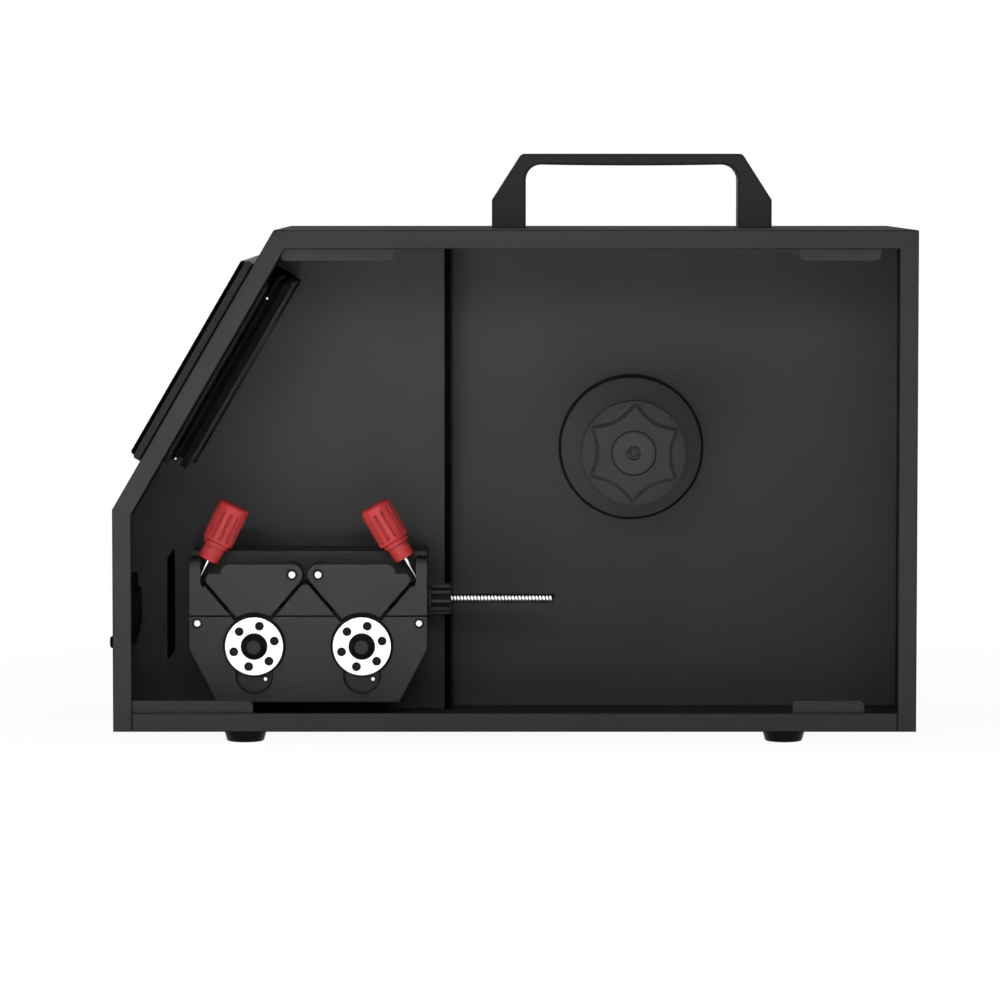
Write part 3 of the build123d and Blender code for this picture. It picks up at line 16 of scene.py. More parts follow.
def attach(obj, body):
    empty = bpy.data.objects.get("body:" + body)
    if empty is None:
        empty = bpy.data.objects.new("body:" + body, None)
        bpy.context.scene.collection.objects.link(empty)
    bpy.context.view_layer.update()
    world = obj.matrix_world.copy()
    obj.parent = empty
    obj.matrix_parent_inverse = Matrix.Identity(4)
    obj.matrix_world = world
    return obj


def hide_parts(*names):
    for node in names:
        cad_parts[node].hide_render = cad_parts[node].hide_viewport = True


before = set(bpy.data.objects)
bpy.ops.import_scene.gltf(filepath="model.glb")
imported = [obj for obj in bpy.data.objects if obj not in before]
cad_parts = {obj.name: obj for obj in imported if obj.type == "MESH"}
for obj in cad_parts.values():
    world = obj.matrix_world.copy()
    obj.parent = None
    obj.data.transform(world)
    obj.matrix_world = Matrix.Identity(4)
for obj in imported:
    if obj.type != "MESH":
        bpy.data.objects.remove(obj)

Point = tuple[float, float, float]
Colour = tuple[float, float, float]
Span = tuple[float, float]
Profile = Sequence[Span]
Socket = bpy.types.NodeSocket

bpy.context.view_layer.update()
LOG = logging.getLogger("feeder")
MM = 0.001
ORIGIN: Point = (0.0, 0.0, 0.0)
FRONT: Point = (0.0, -1.0, 0.0)
BACK: Point = (0.0, 1.0, 0.0)
UP: Point = (0.0, 0.0, 1.0)
DOWN: Point = (0.0, 0.0, -1.0)
LEFT: Point = (-1.0, 0.0, 0.0)
RIGHT: Point = (1.0, 0.0, 0.0)
BLACK: Colour = (0.0, 0.0, 0.0)

# The case, from which several classes measure.
HALF_WIDTH = 258.0
HALF_DEPTH = 122.0

# Modelling: slack when edges are picked by place, the least distance of two points, the least fold
# in degrees that is rounded, and the cosine above which two directions count as parallel.
NEAR = 0.1
DOUBLE = 0.001
FOLD = 25.0
PARALLEL = 0.95

# Materials: noise scales per metre, the spans that are stretched, shares and sample counts.
NOISE_SPAN: Span = (0.3, 0.7)
CLOUD_SCALE = 14.0
RING_DETAIL = 2.0
SPECK_SPAN: Span = (0.45, 0.75)
SPECK_SHARE = 0.5
# The patches, lift and gain of the painted highlight on edges, then the spans of painted shade in
# gaps, along folds and behind a front plane.
PATCH_SCALE = 90.0
PATCH_DETAIL = 4.0
PATCH_LEAST = 0.2
HIGHLIGHT_LIFT = 0.02
HIGHLIGHT_GAIN = 1.5
GAP_SPAN: Span = (0.4, 0.95)
FOLD_SPAN: Span = (0.90, 0.995)
FACE_SPAN: Span = (0.05, 0.2)
TRACK_SPAN: Span = (0.30, 0.36)
BEVEL_SAMPLES = 6
AO_SAMPLES = 8
MIX_FIRST, MIX_SECOND, MIX_RESULT = 6, 7, 2


class Drive(Enum):
    """The recess in a screw's head."""

    SOCKET = "socket"
    LOBES = "lobes"


class Side(Enum):
    """The two halves of the wire feed, by the sign of the side they stand on."""

    left = -1
    right = 1


class Tree:
    """A node tree, with short calls to add and join nodes."""

    def __init__(self, owner: bpy.types.Material | bpy.types.World) -> None:
        """Starts the owner's tree empty."""
        owner.use_nodes = True
        self.nodes, self.links = owner.node_tree.nodes, owner.node_tree.links
        self.nodes.clear()

    def join(self, socket: Socket, value: object) -> None:
        """Links an output to an input socket, or sets a value there."""
        if isinstance(value, Socket):
            self.links.new(value, socket)
        else:
            socket.default_value = value

    def add(self, kind: str, values: dict | None = None, **settings: object) -> bpy.types.Node:
        """Adds a node.

        Args:
            kind: the node's type, without the common prefix.
            values: inputs by name or index, as numbers or as sockets to link.
            settings: properties of the node itself.

        Returns:
            The new node.
        """
        node = self.nodes.new("ShaderNode" + kind)
        for key, value in settings.items():
            setattr(node, key, value)
        for key, value in (values or {}).items():
            self.join(node.inputs[key], value)
        return node

    def remap(self, value: Socket, low: float, high: float, span: Span = NOISE_SPAN) -> Socket:
        """Returns value stretched from span to low and high, clamped."""
        values = {0: value, 1: span[0], 2: span[1], 3: low, 4: high}
        return self.add("MapRange", values).outputs[0]

    def maths(self, operation: str, first: Socket, second: Socket | float) -> Socket:
        """Returns a math node's result."""
        return self.add("Math", {0: first, 1: second}, operation=operation).outputs[0]

    def white_rays(self) -> Socket:
        """Returns 1 for rays from the camera, off gloss or through glass, and 0 for the rest."""
        path = self.add("LightPath").outputs
        seen = self.maths("MAXIMUM", path["Is Camera Ray"], path["Is Glossy Ray"])
        return self.maths("MAXIMUM", seen, path["Is Transmission Ray"])


class Graph(Tree):
    """The tree of one finish: a principled shader on Object coordinates."""

    def __init__(self, name: str) -> None:
        """Starts a material with the shader joined to its output."""
        self.material = bpy.data.materials.new(name)
        super().__init__(self.material)
        out = self.add("OutputMaterial")
        self.shader = self.add("BsdfPrincipled")
        self.join(out.inputs["Surface"], self.shader.outputs["BSDF"])
        self.place = self.add("TexCoord").outputs["Object"]

    def noise(self, scale: float, detail: float = 3.0, place: Socket | None = None) -> Socket:
        """Returns a noise value at a scale per metre, on Object coordinates or a given place."""
        values = {"Vector": place or self.place, "Scale": scale, "Detail": detail}
        return self.add("TexNoise", values).outputs[0]

    def blend(self, share: Socket, first: Socket | Colour, second: Socket | Colour) -> Socket:
        """Returns a colour mixed from first to second by share."""
        ends = [end if isinstance(end, Socket) else (*end, 1.0) for end in (first, second)]
        values = {"Factor": share, MIX_FIRST: ends[0], MIX_SECOND: ends[1]}
        return self.add("Mix", values, data_type="RGBA").outputs[MIX_RESULT]

    def feed(self, name: str, value: object) -> None:
        """Joins a value to an input of the shader."""
        self.join(self.shader.inputs[name], value)


def tint(colour: Colour, share: float) -> Colour:
    """Returns a colour scaled by share, at most 1."""
    return tuple(min(1.0, part * share) for part in colour)


@dataclass(frozen=True)
class Finish:
    """A surface with fine grain, uneven tone, soft edges and painted shade in its gaps and folds.

    Grain and relief set the fine pattern, mottle and spread the unevenness of tone and roughness,
    edge the soft edges and the field after it a painted highlight on them, and crease, reach and
    fold the painted shade.
    """

    name: str
    slot: str
    colour: Colour
    roughness: float
    metallic: float = 0.0
    specular: float = 0.2
    grain: float = 1700.0
    relief: float = 0.03
    mottle: float = 0.07
    spread: float = 0.06
    edge: float = 0.5
    edge_light: float = 0.0
    crease: float = 0.0
    reach: float = 2.0
    fold: float = 0.0

    def material(self) -> bpy.types.Material:
        """Returns the finish's material, made once."""
        found = bpy.data.materials.get(self.name)
        if found:
            return found
        graph = Graph(self.name)
        graph.feed("Metallic", self.metal(graph))
        graph.feed("Specular IOR Level", self.specular)
        fine = self.pattern(graph)
        cloud = graph.noise(CLOUD_SCALE)
        soft = graph.add("Bevel", {"Radius": self.edge * MM}, samples=BEVEL_SAMPLES).outputs[0]
        dull, light, bright = (tint(self.colour, 1 + part * self.mottle) for part in (-1, 1, 2))
        tone = graph.blend(graph.remap(cloud, 0.0, 1.0), dull, light)
        speck = graph.blend(graph.remap(fine, 0.0, SPECK_SHARE, SPECK_SPAN), tone, bright)
        # Sharp edges are lightened in patches: painted highlight.
        highlighted = graph.blend(self.edge_highlight(graph, soft), speck, self.highlight_tone()) if self.edge_light else speck
        toned_colour = self.toned(graph, highlighted)
        # Gaps and sharp folds darken the colour towards black: painted shade.
        graph.feed("Base Color", graph.blend(self.painted_shade(graph, soft), toned_colour, BLACK))
        uneven = (graph.remap(noise, -self.spread, self.spread) for noise in (cloud, fine))
        graph.feed("Roughness", graph.maths("ADD", graph.maths("ADD", *uneven), self.roughness))
        bump = graph.add("Bump", {"Height": fine, "Distance": self.relief * MM, "Normal": soft})
        graph.feed("Normal", bump.outputs[0])
        return graph.material

    def pattern(self, graph: Graph) -> Socket:
        """Returns the fine relief: here an even grain."""
        return graph.noise(self.grain)

    def metal(self, graph: Graph) -> float | Socket:
        """Returns the metallic share: here the same all over."""
        return self.metallic

    def toned(self, graph: Graph, tone: Socket) -> Socket:
        """Returns the colour before the painted shade of gaps and folds: here the tone as it is."""
        return tone

    def painted_shade(self, graph: Graph, soft: Socket) -> Socket:
        """Returns the share of painted shade, which gathers in gaps and lies thin along sharp
        folds.
        """
        values = {"Distance": self.reach * MM}
        clear = graph.add("AmbientOcclusion", values, samples=AO_SAMPLES).outputs["AO"]
        gaps = graph.remap(clear, self.crease, 0.0, GAP_SPAN)
        folds = graph.maths("MULTIPLY", self.edges(graph, soft), self.fold)
        return graph.maths("MAXIMUM", gaps, folds)

    def edges(self, graph: Graph, soft: Socket) -> Socket:
        """Returns 1 along sharp folds and 0 on plain faces."""
        true = graph.add("NewGeometry").outputs["True Normal"]
        facing = graph.add("VectorMath", {0: soft, 1: true}, operation="DOT_PRODUCT")
        return graph.remap(facing.outputs["Value"], 1.0, 0.0, FOLD_SPAN)

    def edge_highlight(self, graph: Graph, soft: Socket) -> Socket:
        """Returns the share of painted highlight, which lies on edges and comes and goes along
        them.
        """
        patch = graph.remap(graph.noise(PATCH_SCALE, PATCH_DETAIL), PATCH_LEAST, 1.0)
        broken = graph.maths("MULTIPLY", self.edges(graph, soft), patch)
        return graph.maths("MULTIPLY", broken, self.edge_light)

    def highlight_tone(self) -> Colour:
        """Returns the tone of the painted highlight on an edge."""
        return tint(tuple(part + HIGHLIGHT_LIFT for part in self.colour), HIGHLIGHT_GAIN)


@dataclass(frozen=True)
class Faced(Finish):
    """A surface that keeps its tone up to a front plane and has another tone behind it.

    Behind the plane the tone is painted shade on the steel and the hub's flange, and a grey like
    the panel's on the housing.
    """

    face: float = 0.0
    back: Colour = (0.016, 0.016, 0.0163)

    def front(self, graph: Graph) -> Socket:
        """Returns 1 up to the front plane and 0 behind it."""
        depth = graph.add("SeparateXYZ", {0: graph.place}).outputs["Y"]
        start, end = ((self.face + gap) * MM for gap in FACE_SPAN)
        return graph.remap(depth, 1.0, 0.0, (start, end))

    def metal(self, graph: Graph) -> Socket:
        """Returns the metallic share up to the front plane and none behind it, where the steel is
        painted shade.
        """
        return graph.maths("MULTIPLY", self.front(graph), self.metallic)

    def toned(self, graph: Graph, tone: Socket) -> Socket:
        """Returns the tone up to the front plane and the other tone behind it, painted shade on the
        steel and the hub's flange.
        """
        return graph.blend(self.front(graph), self.back, tone)


@dataclass(frozen=True)
class Turned(Faced):
    """Metal from a lathe, painted dark behind its front face as shade: fine rings round an axis to
    the front.
    """

    centre: Point = ORIGIN
    rings: float = 1400.0

    def pattern(self, graph: Graph) -> Socket:
        """Returns rings that differ in depth, by distance from the axis."""
        turn = Vector(FRONT).rotation_difference(Vector(UP))
        shift = -(turn @ (Vector(self.centre) * MM))
        values = {"Vector": graph.place, "Location": shift, "Rotation": turn.to_euler()}
        flat = graph.add("Mapping", values).outputs[0]
        across = graph.add("VectorMath", {0: flat, 1: (1, 1, 0)}, operation="MULTIPLY").outputs[0]
        radius = graph.add("VectorMath", {0: across}, operation="LENGTH").outputs["Value"]
        values = {"W": radius, "Scale": self.rings, "Detail": RING_DETAIL}
        return graph.add("TexNoise", values, noise_dimensions="1D").outputs[0]


@dataclass(frozen=True)
class Drawn(Finish):
    """Metal with fine lines along one direction."""

    stretch: Point = (0.03, 1.0, 1.0)

    def pattern(self, graph: Graph) -> Socket:
        """Returns grain drawn out into lines."""
        lines = graph.add("Mapping", {"Vector": graph.place, "Scale": self.stretch})
        return graph.noise(self.grain, place=lines.outputs[0])


@dataclass(frozen=True)
class Laminate(Finish):
    """Circuit board: solder mask over a net of tracks."""

    tracks: float = 260.0

    def pattern(self, graph: Graph) -> Socket:
        """Returns the raised tracks under the mask."""
        values = {"Vector": graph.place, "Scale": self.tracks}
        cells = graph.add("TexVoronoi", values, distance="MANHATTAN", feature="F1")
        return graph.remap(cells.outputs["Distance"], 0.0, 1.0, TRACK_SPAN)


# In these finishes crease and reach set painted shade in gaps, and fold sets painted shade along
# sharp folds.
CASE_PAINT = Finish("powder_coat", "case_paint", (0.030, 0.030, 0.0304), 0.75, specular=0.03,
    relief=0.035, edge=1.5, fold=0.8)
# A lighter copy of the case paint for the inner panels: painted light that makes up for the dimmer
# light inside the case.
PANEL_PAINT = replace(CASE_PAINT, name="powder_coat_inside", slot="panel_paint",
    colour=(0.041, 0.041, 0.0415))
CASTING = Finish("feed_casting", "grey_plastic", (0.038, 0.038, 0.0385), 0.6, specular=0.06,
    grain=1100.0, relief=0.05, edge=1.1, crease=0.85, reach=2.5, fold=0.75)
BLACK_PLASTIC = Finish("black_moulding", "black_plastic", (0.024, 0.024, 0.0245), 0.5,
    specular=0.06, grain=2400.0, relief=0.02, crease=0.4)
TAB_PLASTIC = replace(BLACK_PLASTIC, name="tab_moulding", colour=(0.030, 0.030, 0.0304),
    roughness=0.6, specular=0.04, edge=1.0, reach=14.0, fold=0.7)
HANDLE_PLASTIC = replace(BLACK_PLASTIC, name="handle_moulding", colour=(0.044, 0.044, 0.0444),
    roughness=0.6, specular=0.04, edge=1.2, crease=0.2, reach=8.0, fold=0.7)
HUB_PLASTIC = replace(BLACK_PLASTIC, name="hub_moulding", colour=(0.032, 0.032, 0.0324),
    roughness=0.6, specular=0.05, edge=0.8, crease=0.6, reach=0.9, fold=0.85)
# Dark behind the flange's front, on its outer round: painted shade.
FLANGE_PLASTIC = Faced("flange_moulding", "black_plastic", (0.039, 0.039, 0.0394), 0.6,
    specular=0.05, relief=0.01, edge=0.8, crease=0.6, reach=0.9, fold=0.85, face=8.0,
    back=(0.012, 0.012, 0.0122))
BRAKE_STEEL = replace(HUB_PLASTIC, name="brake_black", slot="dark_steel")
CLAMP_PLASTIC = replace(BLACK_PLASTIC, name="clamp_moulding", colour=(0.012, 0.012, 0.0122),
    roughness=0.4, specular=0.03, crease=0.95, reach=10.0)
PANEL_PLASTIC = Faced("housing_moulding", "black_plastic", (0.0036, 0.0036, 0.0038), 0.45,
    specular=0.008, relief=0.02, crease=0.4, face=-91.5, back=(0.06, 0.06, 0.0605))
CONNECTOR_PLASTIC = replace(CASTING, name="connector_moulding", edge=0.9, crease=0.9, reach=2.0,
    fold=0.95)
# Near black: the own colour of the outlet and the switch, and painted shade on the drive caps'
# cones, the rings round pins and screws and the sleeve between the connector's ribs.
BLACK_AND_SHADE = replace(BLACK_PLASTIC, name="near_black_and_shade", colour=(0.006, 0.006, 0.0062),
    specular=0.015)
GLASS = Finish("panel_glass", "black_glass", (0.0012, 0.0012, 0.0014), 0.25, specular=0.004,
    grain=300.0, relief=0.001, spread=0.03, edge=0.4)
RUBBER = Finish("foot_rubber", "rubber", (0.002, 0.002, 0.002), 0.32, specular=0.07, grain=1500.0,
    relief=0.004)
TRIM_RUBBER = replace(RUBBER, name="trim_rubber", colour=(0.0012, 0.0012, 0.0012), roughness=0.8,
    specular=0.02)
RED_PLASTIC = Finish("knob_moulding", "red_plastic", (0.37, 0.029, 0.031), 0.42, specular=0.16,
    grain=2600.0, relief=0.012, crease=0.75, reach=1.8, fold=0.55)
BRIGHT = Drawn("drawn_steel", "bright_metal", (0.92, 0.92, 0.92), 0.14, metallic=1.0, grain=2200.0,
    relief=0.002, mottle=0.03, spread=0.03, edge=0.25, crease=0.97, reach=1.1)
# Bright at the coil's front and near black behind: painted shade and painted dark reflection along
# its top and bottom.
SPRING_STEEL = Faced("spring_steel", "bright_metal", (0.95, 0.95, 0.95), 0.2, metallic=1.0,
    specular=0.02, relief=0.002, mottle=0.03, edge=0.2, face=-54.4, back=(0.003, 0.003, 0.003))
# Its edges are lightened in patches: painted highlight.
LIGHT_METAL = Drawn("gearbox_alloy", "light_metal", (0.42, 0.43, 0.44), 0.38, metallic=1.0,
    grain=1400.0, relief=0.012, mottle=0.06, edge=0.6, edge_light=0.3)
# Dark steel for the drive train and guides, kept dark so the gaps round the plates read as shade:
# partly its own colour, partly painted shade.
DARK_STEEL = Drawn("dark_steel_and_shade", "dark_steel", (0.030, 0.030, 0.0305), 0.5, specular=0.05,
    grain=1800.0, relief=0.006, mottle=0.06, edge=0.3, crease=0.5)
# Dark behind each plate's front face: painted shade in its holes and round its rim.
PLATE_STEEL = Turned("turned_steel", "bright_metal", (0.93, 0.93, 0.93), 0.28, metallic=1.0,
    specular=0.05, relief=0.003, mottle=0.03, edge=0.25)
BOARD = Laminate("solder_mask", "board", (0.010, 0.09, 0.035), 0.3, specular=0.4, edge=0.2)
BLACK_SCREW = replace(BLACK_PLASTIC, name="blacked_steel", colour=(0.02, 0.02, 0.021), metallic=0.6,
    roughness=0.35, edge=0.15)


def aim(origin: Point, along: Point, start: Point = RIGHT) -> Matrix:
    """Gives the place of a piece that is modelled upright.

    Args:
        origin: where the piece's own origin goes.
        along: where its Z points.
        start: where its X points, roughly.

    Returns:
        The matrix from the piece's own axes to the part's frame.
    """
    upright = Vector(along).normalized()
    guide = Vector(start)
    if abs(upright.dot(guide)) > PARALLEL * guide.length:
        guide = Vector(UP)
    first = (guide - upright * upright.dot(guide)).normalized()
    turn = Matrix((first, upright.cross(first), upright)).transposed()
    return Matrix.Translation(origin) @ turn.to_4x4()


def spin(degrees: float) -> Matrix:
    """Returns a turn about Z."""
    return Matrix.Rotation(math.radians(degrees), 4, "Z")


def about(half: float) -> Span:
    """Returns the span that reaches as far on both sides of zero."""
    return -half, half


def corners(first: Span, second: Span) -> list[Span]:
    """Returns a rectangle's corners, anticlockwise from the highest."""
    (x0, x1), (y0, y1) = first, second
    return [(x1, y1), (x0, y1), (x0, y0), (x1, y0)]


def verts_of(made: Iterable[object]) -> list[bmesh.types.BMVert]:
    """Returns the points among an operator's results."""
    return [item for item in made if isinstance(item, bmesh.types.BMVert)]


def stand(name: str, data: bpy.types.ID) -> bpy.types.Object:
    """Returns a new object of the scene."""
    made = bpy.data.objects.new(name, data)
    bpy.context.scene.collection.objects.link(made)
    return made


class Shape:
    """A bmesh in millimetres that becomes one piece."""

    def __init__(self) -> None:
        """Starts empty."""
        self.bm = bmesh.new()

    def everything(self) -> list:
        """Returns all points, edges and faces."""
        return self.bm.verts[:] + self.bm.edges[:] + self.bm.faces[:]

    def weld(self) -> "Shape":
        """Merges doubles and turns all faces outwards."""
        bmesh.ops.remove_doubles(self.bm, verts=self.bm.verts, dist=DOUBLE)
        bmesh.ops.recalc_face_normals(self.bm, faces=self.bm.faces)
        return self

    def path(self, points: Iterable[Point], closed: bool) -> tuple[list, list]:
        """Adds points joined by edges, and returns both."""
        verts = [self.bm.verts.new(point) for point in points]
        ends = verts[1:] + verts[:1] if closed else verts[1:]
        return verts, [self.bm.edges.new(pair) for pair in zip(verts, ends)]

    def lathe(self, profile: Profile, steps: int, closed: bool = False) -> "Shape":
        """Spins a profile about Z.

        Args:
            profile: points of radius and height.
            steps: facets round the axis.
            closed: whether the last point joins the first, as in a ring.

        Returns:
            The shape itself.
        """
        verts, edges = self.path([(radius, 0.0, height) for radius, height in profile], closed)
        bmesh.ops.spin(self.bm, geom=verts + edges, cent=ORIGIN, axis=UP, angle=math.tau,
                       steps=steps, use_merge=True)
        return self.weld()

    def outline(self, points: Profile) -> "Shape":
        """Adds a flat face through points in the XY plane."""
        self.bm.faces.new([self.bm.verts.new((x, y, 0.0)) for x, y in points])
        return self

    def raise_faces(self, height: float) -> "Shape":
        """Extrudes every face along Z into a closed solid."""
        faces = self.bm.faces[:]
        grown = bmesh.ops.extrude_face_region(self.bm, geom=faces, use_keep_orig=True)["geom"]
        bmesh.ops.translate(self.bm, vec=(0, 0, height), verts=verts_of(grown))
        return self.weld()

    def lift(self, faces: Sequence[bmesh.types.BMFace], height: float) -> list:
        """Extrudes some faces along Z and returns what grew."""
        grown = bmesh.ops.extrude_face_region(self.bm, geom=faces)["geom"]
        bmesh.ops.delete(self.bm, geom=faces, context="FACES_ONLY")
        bmesh.ops.translate(self.bm, vec=(0, 0, height), verts=verts_of(grown))
        return grown

    def soften(self, width: float, where: Callable[[Vector], bool] = lambda middle: True,
               segments: int = 2) -> "Shape":
        """Rounds folded edges.

        Args:
            width: how far the round reaches from the edge.
            where: says from an edge's middle whether it is rounded.
            segments: steps in the round.

        Returns:
            The shape itself.
        """
        limit = math.radians(FOLD)
        edges = [e for e in self.bm.edges if len(e.link_faces) == 2 and e.calc_face_angle() > limit
                 and where((e.verts[0].co + e.verts[1].co) / 2)]
        bmesh.ops.bevel(self.bm, geom=edges, offset=width, offset_type="OFFSET", segments=segments,
                        profile=0.5, affect="EDGES", clamp_overlap=True, material=-1)
        return self

    def round_corners(self, verts: Sequence[bmesh.types.BMVert], width: float,
                      segments: int) -> None:
        """Rounds the corners of an outline at some of its points."""
        bmesh.ops.bevel(self.bm, geom=verts, offset=width, offset_type="OFFSET", segments=segments,
                        profile=0.5, affect="VERTICES", material=-1)

    def copies(self, shifts: Iterable[Point]) -> "Shape":
        """Adds copies of everything at the given shifts."""
        first = self.everything()
        for shift in shifts:
            made = bmesh.ops.duplicate(self.bm, geom=first)["geom"]
            bmesh.ops.translate(self.bm, vec=shift, verts=verts_of(made))
        return self

    def spread(self, spots: Sequence[Point], along: Point) -> "Shape":
        """Turns the shape along a direction and puts one at each spot."""
        start = Vector(spots[0])
        self.place(aim(ORIGIN, along)).copies([tuple(Vector(spot) - start) for spot in spots[1:]])
        return self.place(Matrix.Translation(start))

    def wheel(self, count: int) -> "Shape":
        """Repeats everything round Z to a given count."""
        bmesh.ops.spin(self.bm, geom=self.everything(), cent=ORIGIN, axis=UP, steps=count - 1,
                       angle=math.tau * (count - 1) / count, use_duplicate=True)
        return self

    def place(self, matrix: Matrix) -> "Shape":
        """Moves the shape to its place in the part's frame."""
        bmesh.ops.transform(self.bm, matrix=matrix, verts=self.bm.verts)
        return self

    def piece(self, name: str, body: str, finish: Finish, nodes: Sequence[str] = (),
              smooth: int = 0, sharp: float = 40.0) -> None:
        """Writes the shape as a piece of the part.

        Args:
            name: the piece's name.
            body: the CAD body it rides on.
            finish: its surface.
            nodes: the CAD nodes that it stands for.
            smooth: levels of subdivision.
            sharp: folds above this many degrees stay sharp.
        """
        bmesh.ops.scale(self.bm, vec=(MM, MM, MM), verts=self.bm.verts)
        mesh = bpy.data.meshes.new(name)
        self.bm.to_mesh(mesh)
        self.bm.free()
        mesh.polygons.foreach_set("use_smooth", [True] * len(mesh.polygons))
        mesh.set_sharp_from_angle(angle=math.radians(sharp))
        mesh.materials.append(finish.material())
        made = stand(name, mesh)
        if smooth:
            rounding = made.modifiers.new("rounding", "SUBSURF")
            rounding.levels = rounding.render_levels = smooth
        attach(made, body)
        if nodes:
            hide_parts(*nodes)
        LOG.info("%s rides on %s", name, body)


def dress(finish: Finish, *nodes: str) -> None:
    """Gives CAD nodes a finish."""
    for node in nodes:
        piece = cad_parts[node]
        if not piece.material_slots:
            piece.data.materials.append(finish.material())
        for slot in piece.material_slots:
            slot.material = finish.material()
        LOG.info("%s is finished in %s", node, finish.name)


@dataclass(frozen=True)
class Screw:
    """A screw's head with a domed rim and a recess, whose proportions are shares of its size."""

    radius: float
    height: float
    drive: Drive = Drive.LOBES
    steps: int = 24
    dome: float = 0.35
    wall: float = 0.36
    lobes: int = 6
    lobe_reach: float = 1.18
    sink: float = 0.6

    def build(self) -> Shape:
        """Returns the head, upright on its own origin."""
        head = Shape()
        bmesh.ops.create_circle(head.bm, cap_ends=True, radius=self.radius, segments=self.steps)
        head.raise_faces(self.height)
        rim = self.height - NEAR
        head.soften(self.dome * self.height, lambda middle: middle.z > rim, segments=3)
        top = max(head.bm.faces, key=lambda face: face.calc_center_median().z)
        bmesh.ops.inset_region(head.bm, faces=[top], thickness=self.wall * self.radius)
        if self.drive is Drive.LOBES:
            step, period = math.tau / self.steps, self.steps // self.lobes
            outer = [vert for vert in top.verts
                     if round(math.atan2(vert.co.y, vert.co.x) / step) % period in (0, 1)]
            bmesh.ops.scale(head.bm, vec=(self.lobe_reach, self.lobe_reach, 1), verts=outer)
        head.lift([top], -self.sink * self.height)
        return head.weld()

    def place(self, name: str, spots: Sequence[Point], along: Point, finish: Finish) -> None:
        """Puts one piece of heads on the case at several spots, all facing one way."""
        self.build().spread(spots, along).piece(name, "case", finish)


@dataclass
class Case:
    """The folded case: walls, panels, tabs, trim, handle, feet and their screws."""

    floor: float = 8.0
    foot: Profile = ((0, 2.4), (4.6, 2.4), (5.2, 0), (11.9, 0), (14.0, 7.7), (14.0, 8.0), (0, 8.0))
    foot_round: float = 0.9
    foot_x: float = 174.0
    foot_y: float = 101.0
    rear_screw: Screw = Screw(3.6, 1.9)
    rear_spots: tuple[Span, ...] = (
        (251.2, 14.8), (0.0, 14.8), (-251.2, 14.8), (251.2, 169.0), (-251.2, 92.0),
        (251.2, 323.2), (75.0, 323.2), (-155.0, 323.2))
    base_screw: Screw = Screw(3.2, 1.6)
    base_x: float = 205.0
    base_y: float = 60.0

    def build(self) -> None:
        """Dresses the sheet metal and builds the feet and the screws."""
        dress(CASE_PAINT, "case_wrap", "base_tray", "rear_cover")
        dress(PANEL_PAINT, "feeder_panel", "spool_panel")
        dress(TAB_PLASTIC, "door_tabs")
        dress(TRIM_RUBBER, "edge_trim")
        dress(HANDLE_PLASTIC, "handle")
        self.feet()
        self.fasteners()

    def feet(self) -> None:
        """Builds four moulded feet with a washer recess."""
        foot = Shape().lathe(self.foot, steps=56)
        foot.soften(self.foot_round, lambda middle: middle.z < self.floor - NEAR, segments=3)
        rows = (self.foot_y, -self.foot_y)
        spots = [(x, y, 0) for x in (self.foot_x, -self.foot_x) for y in rows]
        foot.spread(spots, UP).piece("feet_moulded", "case", RUBBER, ["feet"])

    def fasteners(self) -> None:
        """Puts screws round the rear cover and under the base."""
        rear = [(x, HALF_DEPTH, z) for x, z in self.rear_spots]
        self.rear_screw.place("rear_cover_screws", rear, BACK, BLACK_SCREW)
        columns = (-self.base_x, 0, self.base_x)
        under = [(x, y, self.floor) for x in columns for y in about(self.base_y)]
        self.base_screw.place("base_screws", under, DOWN, BLACK_SCREW)


